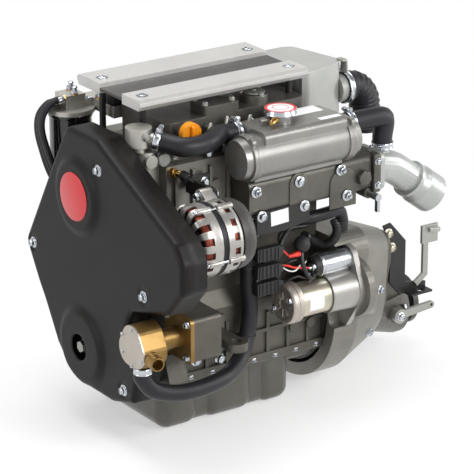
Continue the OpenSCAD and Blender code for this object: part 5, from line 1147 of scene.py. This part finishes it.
# %% Mount bracket bolts, lever bolts and bracket bolts
bolts("mount_bolts", [((x, side * 125.5, -4), (0, side, 0), 0) for x in (185, 221)
                      for side in (-1, 1)],
      bright_zinc, "plated_steel", across=16, height=10, skirt=12)
bolts("bracket_bolts", [((640, -86.2, 112), SIDEWAYS, 10), ((648, -86.2, 82), SIDEWAYS, 25)],
      yellow_zinc, "plated_steel", across=13, height=8, skirt=10)
bolts("lever_clamp_bolts", [((662, -103.4, -58), SIDEWAYS, 15)], bright_zinc, "plated_steel",
      "gear_lever", across=13, height=7, skirt=9)
fork = block((26, 15, 9), 2.0)
fork.transform(moved(741, -97, 104) @ Matrix.Rotation(math.radians(8), 4, "Y"))
finished("cable_clip", fork, dull_zinc)
print("pieces so far:", len(made_pieces))

# %% [markdown]
# ## Pistons
# Each piston gets its ring grooves, a chamfered crown edge, pin bosses and a steel pin. Its
# height is read off its node, and it rides the piston's own sliding body. It is 0.25 mm
# smaller in radius than its node, because the bore's flat facets come in to 43.87 mm.

# %% Pistons and pins
PISTON_R = 43.7
GROOVE_R, GROOVE_WIDE = 41, 2
GROOVES_BELOW_CROWN = (20, 13.5, 7)
for name, body in (("piston_1", "piston_front"), ("piston_2", "piston_middle"),
                   ("piston_3", "piston_rear")):
    corners = [v.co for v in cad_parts[name].data.vertices]
    low, high = min(c.z for c in corners), max(c.z for c in corners)
    middle = (min(c.x for c in corners) + max(c.x for c in corners)) / 2
    tall = (high - low) / MM
    edge = [(0, tall - 9), (34, tall - 9), (38, tall - 13), (38, 0), (PISTON_R - 0.5, 0),
            (PISTON_R, 1)]
    for groove in GROOVES_BELOW_CROWN:
        under, over = tall - groove, tall - groove + GROOVE_WIDE
        edge += [(PISTON_R, under), (GROOVE_R, under), (GROOVE_R, over), (PISTON_R, over)]
    edge += [(PISTON_R, tall - 1.2), (PISTON_R - 1.1, tall), (0, tall)]
    shape = lathe(edge, 64)
    for side in (-1, 1):
        boss = block((25, 15, 27), 3)
        put(shape, boss, shifted(0, side * 29.5, 25))
    spot = Matrix.Translation(Vector((middle, 0, low)))
    shape.transform(spot)
    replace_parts(finished(f"{name}_with_rings", shape, pale_alloy, body), name)
    pin = lathe([(5, -41), (10.4, -41), (11, -40.2), (11, 40.2), (10.4, 41), (5, 41)], 32,
                ring=True)
    pin.transform(spot @ shifted(0, 0, 24) @ Matrix.Rotation(math.pi / 2, 4, "X"))
    finished(f"{name}_pin", pin, turned_steel, body)
print("pistons made, height", round(tall, 1))

# %% [markdown]
# ## Intake side and rear
# The photo doesn't show this side. The rubber elbow from the silencer, the manifold bolts, the
# gearbox bolts and the spin-on filter's flutes are what such engines have there.

# %% Intake elbow
route = [(578, -14, 396), (592, -14, 396), (607, -14, 393), (620, -14, 384), (629, -14, 371),
         (632.3, -14, 356), (632.3, -14, 338), (632.3, -14, 304)]
elbow = tube(route, 29.4, steps=12,
             swell=lambda k, count: 1.0 + 0.03 * math.sin(k * 0.9) * (0.2 < k / count < 0.8))
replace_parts(finished("intake_rubber_elbow", elbow, hose_rubber), "intake_elbow")
print("intake elbow made")

# %% [markdown]
# Fixings on the sides that the first view hides are dropped onto the castings along a
# straight line, so each one sits on the surface, whatever its slope.

# %% Bolts dropped onto a surface
def landed(name, point, way, spin=0, turned=True):
    """Where a line from a point in millimetres meets a node, and which way to face there."""
    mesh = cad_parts[name].data
    tree = BVHTree.FromPolygons([v.co for v in mesh.vertices], [p.vertices for p in mesh.polygons])
    hit, normal = tree.ray_cast(at(*point), Vector(way).normalized())[:2]
    if hit is None:
        return None
    spot = (hit.x / MM + FROM_COVER, hit.y / MM, hit.z / MM - CRANK_HEIGHT)
    return (spot, tuple(normal) if turned else tuple(-Vector(way)), spin)


def dropped(name, points, way, **more):
    """The bolts of a row that meet the node; the others are left out."""
    spots = [landed(name, point, way, 17 * k, **more) for k, point in enumerate(points)]
    return [spot for spot in spots if spot]


ring = [math.radians(a) for a in range(10, 370, 40)]
heads = dropped("gearbox_case", [(800, 88 * math.cos(a), 88 * math.sin(a) - 10) for a in ring],
                FORWARD, turned=False)
heads += dropped("flywheel_housing",
                 [(800, 132 * math.cos(a), 132 * math.sin(a)) for a in ring], FORWARD)
heads += dropped("flywheel_housing", [(474, 300, z) for z in (-110, -40, 40, 110)],
                 SIDEWAYS)
bolts("housing_bolts", heads, bright_zinc, "plated_steel", across=12, height=7, skirt=9)
print("housing bolts", len(heads))

# %% Intake side
heads = dropped("intake_manifold", [(x, 300, z) for x in (172, 246, 330, 420)
                                    for z in (304, 335)], SIDEWAYS)
heads += dropped("cylinder_head", [(x, 300, 238) for x in range(145, 455, 60)], SIDEWAYS)
heads += dropped("cylinder_block", [(x, 300, z) for x, z in ((160, 205), (440, 205), (160, 90),
                                                             (440, 90), (340, -30))], SIDEWAYS)
bolts("intake_side_bolts", heads, bright_zinc, "plated_steel", across=12, height=7, skirt=9)
plugs = bmesh.new()
for x, z in ((215, 150), (300, 150), (385, 150)):
    spot = landed("cylinder_block", (x, 300, z), SIDEWAYS)
    dish = lathe([(0, 0.6), (13, 0.6), (15, 3), (18, 3), (18.5, 2.2), (18.5, 0), (0, 0)], 32)
    put(plugs, dish, stand(at(*spot[0]), spot[1]))
finished("core_plugs", plugs, dull_zinc)
print("intake side bolts", len(heads))

# %% Injection lines and filter flutes
lines = bmesh.new()
for k, x in enumerate((196, 294, 392)):
    line = tube([(158 + 9 * k, 158, 118), (158 + 9 * k, 164, 150), (x - 22, 128, 205),
                 (x - 6, 120, 240), (x, 118, 262)], 3.0, sides=3)
    put(lines, line)
    for point, along in (((158 + 9 * k, 158, 112), UPWARD), ((x, 118, 256), UPWARD)):
        nut = hexagon(13, 10, 0.8)
        put(lines, nut, stand(at(*point), along, 12 * k))
finished("pump_lines", lines, dull_zinc)
flutes = bmesh.new()
base = lathe([(36, 0), (39, 0), (39.8, 1.5), (39.8, 6), (38, 7), (36, 7)], 48, ring=True)
put(flutes, base, stand(at(300, 124, 20), (0, 1, 0)))
for k in range(14):
    rib = block((5, 22, 3), 1.2)
    put(flutes, rib, stand(at(300, 190, 20), (0, 1, 0)) @ Matrix.Rotation(math.tau * k / 14, 4, "Z")
        @ shifted(38, 0, 0) @ Matrix.Rotation(math.pi / 2, 4, "X"))
finished("oil_filter_flutes", flutes, can_enamel)
print("pieces:", len(made_pieces))

# %% [markdown]
# ## Last small pieces
# A strap at the rear lifting point, a clip on the silencer's edge, a relay box behind the
# back rail, and ties round the sea-water hose.

# %% Top and rear bits
strap = block((34, 6, 26), 1.5)
join(strap, block((34, 26, 6), 1.5), shifted(0, 10, 12))
strap.transform(moved(440, 112, 438))
finished("rear_strap", strap, black_steel)
clip = block((4, 20, 26), 1.2)
join(clip, block((12, 20, 4), 1.2), shifted(-5, 0, 13))
clip.transform(moved(576, -24, 441))
finished("silencer_clip", clip, dull_zinc)
relay = block((48, 26, 22), 2.5)
for k in range(4):
    join(relay, block((5, 28, 24), 1.0), shifted(-18 + 12 * k, 0, 0))
relay.transform(moved(152, 92, 425.3))
finished("relay_box", relay, socket_mould)
ties = bmesh.new()
for point, along in (((276, -138, 6), (0.1, 0, 1)), ((280.5, -135.5, 140), UPWARD)):
    band = lathe([(15.0, -2.5), (16.6, -2.0), (16.6, 2.0), (15.0, 2.5)], 36, ring=True)
    put(ties, band, stand(at(*point), along))
finished("hose_ties", ties, socket_mould)
print("last pieces made", len(made_pieces))


# %% [markdown]
# ## The studio
# A pale floor carries the shadow. Camera, mirror and glass rays see plain white around the
# engine, while the lamps and a dim world light it at a plain level.

# %% Floor
def white_to_the_eye(made, tree, shader, strength, place):
    """Plain white for mirror and glass rays, and for the camera away from the engine."""
    light_path = add(tree, "ShaderNodeLightPath").outputs
    mirror = add(tree, "ShaderNodeMath", {0: light_path["Is Glossy Ray"],
                                          1: light_path["Is Transmission Ray"]},
                 operation="MAXIMUM")
    away = add(tree, "ShaderNodeVectorMath", {0: place}, operation="LENGTH").outputs["Value"]
    far = add(tree, "ShaderNodeMapRange", {"Value": away}, From_Min=0.3, From_Max=0.75,
              To_Min=0.45, To_Max=1.0).outputs[0]
    plain = add(tree, "ShaderNodeMath", {0: light_path["Is Camera Ray"], 1: far},
                operation="MULTIPLY")
    eye = add(tree, "ShaderNodeMath", {0: mirror.outputs[0], 1: plain.outputs[0]},
              operation="MAXIMUM")
    glow = add(tree, "ShaderNodeEmission", Strength=strength)
    out = tree.nodes["Material Output"]
    mixed = add(tree, "ShaderNodeMixShader", {0: eye.outputs[0], 1: shader.outputs[0],
                                              2: glow.outputs[0]})
    tree.links.new(mixed.outputs[0], out.inputs["Surface"])


floor_mesh = bmesh.new()
bmesh.ops.create_grid(floor_mesh, x_segments=1, y_segments=1, size=6)
floor_data = bpy.data.meshes.new("floor")
floor_mesh.to_mesh(floor_data)
floor_mesh.free()
floor = bpy.data.objects.new("floor", floor_data)
bpy.context.collection.objects.link(floor)
floor_finish, tree, shader, place = surface("pale_floor")
shader.inputs["Base Color"].default_value = colour("#FFFFFF")
shader.inputs["Roughness"].default_value = 0.9
white_to_the_eye(floor_finish, tree, shader, 1.0, place)
floor_data.materials.append(floor_finish)

# %% Lamps
def lamp(name, spot, aim_at, size, power):
    data = bpy.data.lights.new(name, "AREA")
    data.shape = "RECTANGLE"
    data.size, data.size_y = size
    data.energy = power
    thing = bpy.data.objects.new(name, data)
    thing.location = spot
    thing.rotation_euler = (Vector(aim_at) - Vector(spot)).to_track_quat("-Z", "Y").to_euler()
    bpy.context.collection.objects.link(thing)
    return thing


HEART = (0, 0, 0.3)
lamp("key_softbox", (0.9, -2.6, 1.7), HEART, (1.2, 1.2), 50)
lamp("top_softbox", (-0.2, 0.4, 2.6), HEART, (2.0, 1.4), 42)
lamp("left_softbox", (-2.6, 0.2, 1.2), HEART, (0.8, 1.6), 13)
lamp("right_strip", (2.4, -1.0, 1.0), HEART, (0.5, 1.8), 22)

# %% World
world = bpy.data.worlds.new("studio")
bpy.context.scene.world = world
world.use_nodes = True
tree = world.node_tree
tree.nodes.clear()
direction = add(tree, "ShaderNodeTexCoord").outputs["Generated"]
height = add(tree, "ShaderNodeSeparateXYZ", {"Vector": direction}).outputs["Z"]
mirror_tone = ramp(tree, height, [(0.0, "#E8E8E8"), (0.35, "#F2F2F2"), (0.75, "#8C8C8C"),
                                  (1.0, "#6E6E6E")])
plain = add(tree, "ShaderNodeBackground", Color=colour("#FFFFFF"), Strength=0.45)
seen = add(tree, "ShaderNodeBackground", Color=colour("#FFFFFF"), Strength=1.0)
mirrored = add(tree, "ShaderNodeBackground", {"Color": mirror_tone}, Strength=1.0)
light_path = add(tree, "ShaderNodeLightPath").outputs
clear = add(tree, "ShaderNodeMath", {0: light_path["Is Glossy Ray"],
                                     1: light_path["Is Transmission Ray"]}, operation="MAXIMUM")
first = add(tree, "ShaderNodeMixShader", {0: clear.outputs[0], 1: plain.outputs[0],
                                          2: mirrored.outputs[0]})
second = add(tree, "ShaderNodeMixShader", {0: light_path["Is Camera Ray"], 1: first.outputs[0],
                                           2: seen.outputs[0]})
add(tree, "ShaderNodeOutputWorld", {"Surface": second.outputs[0]})
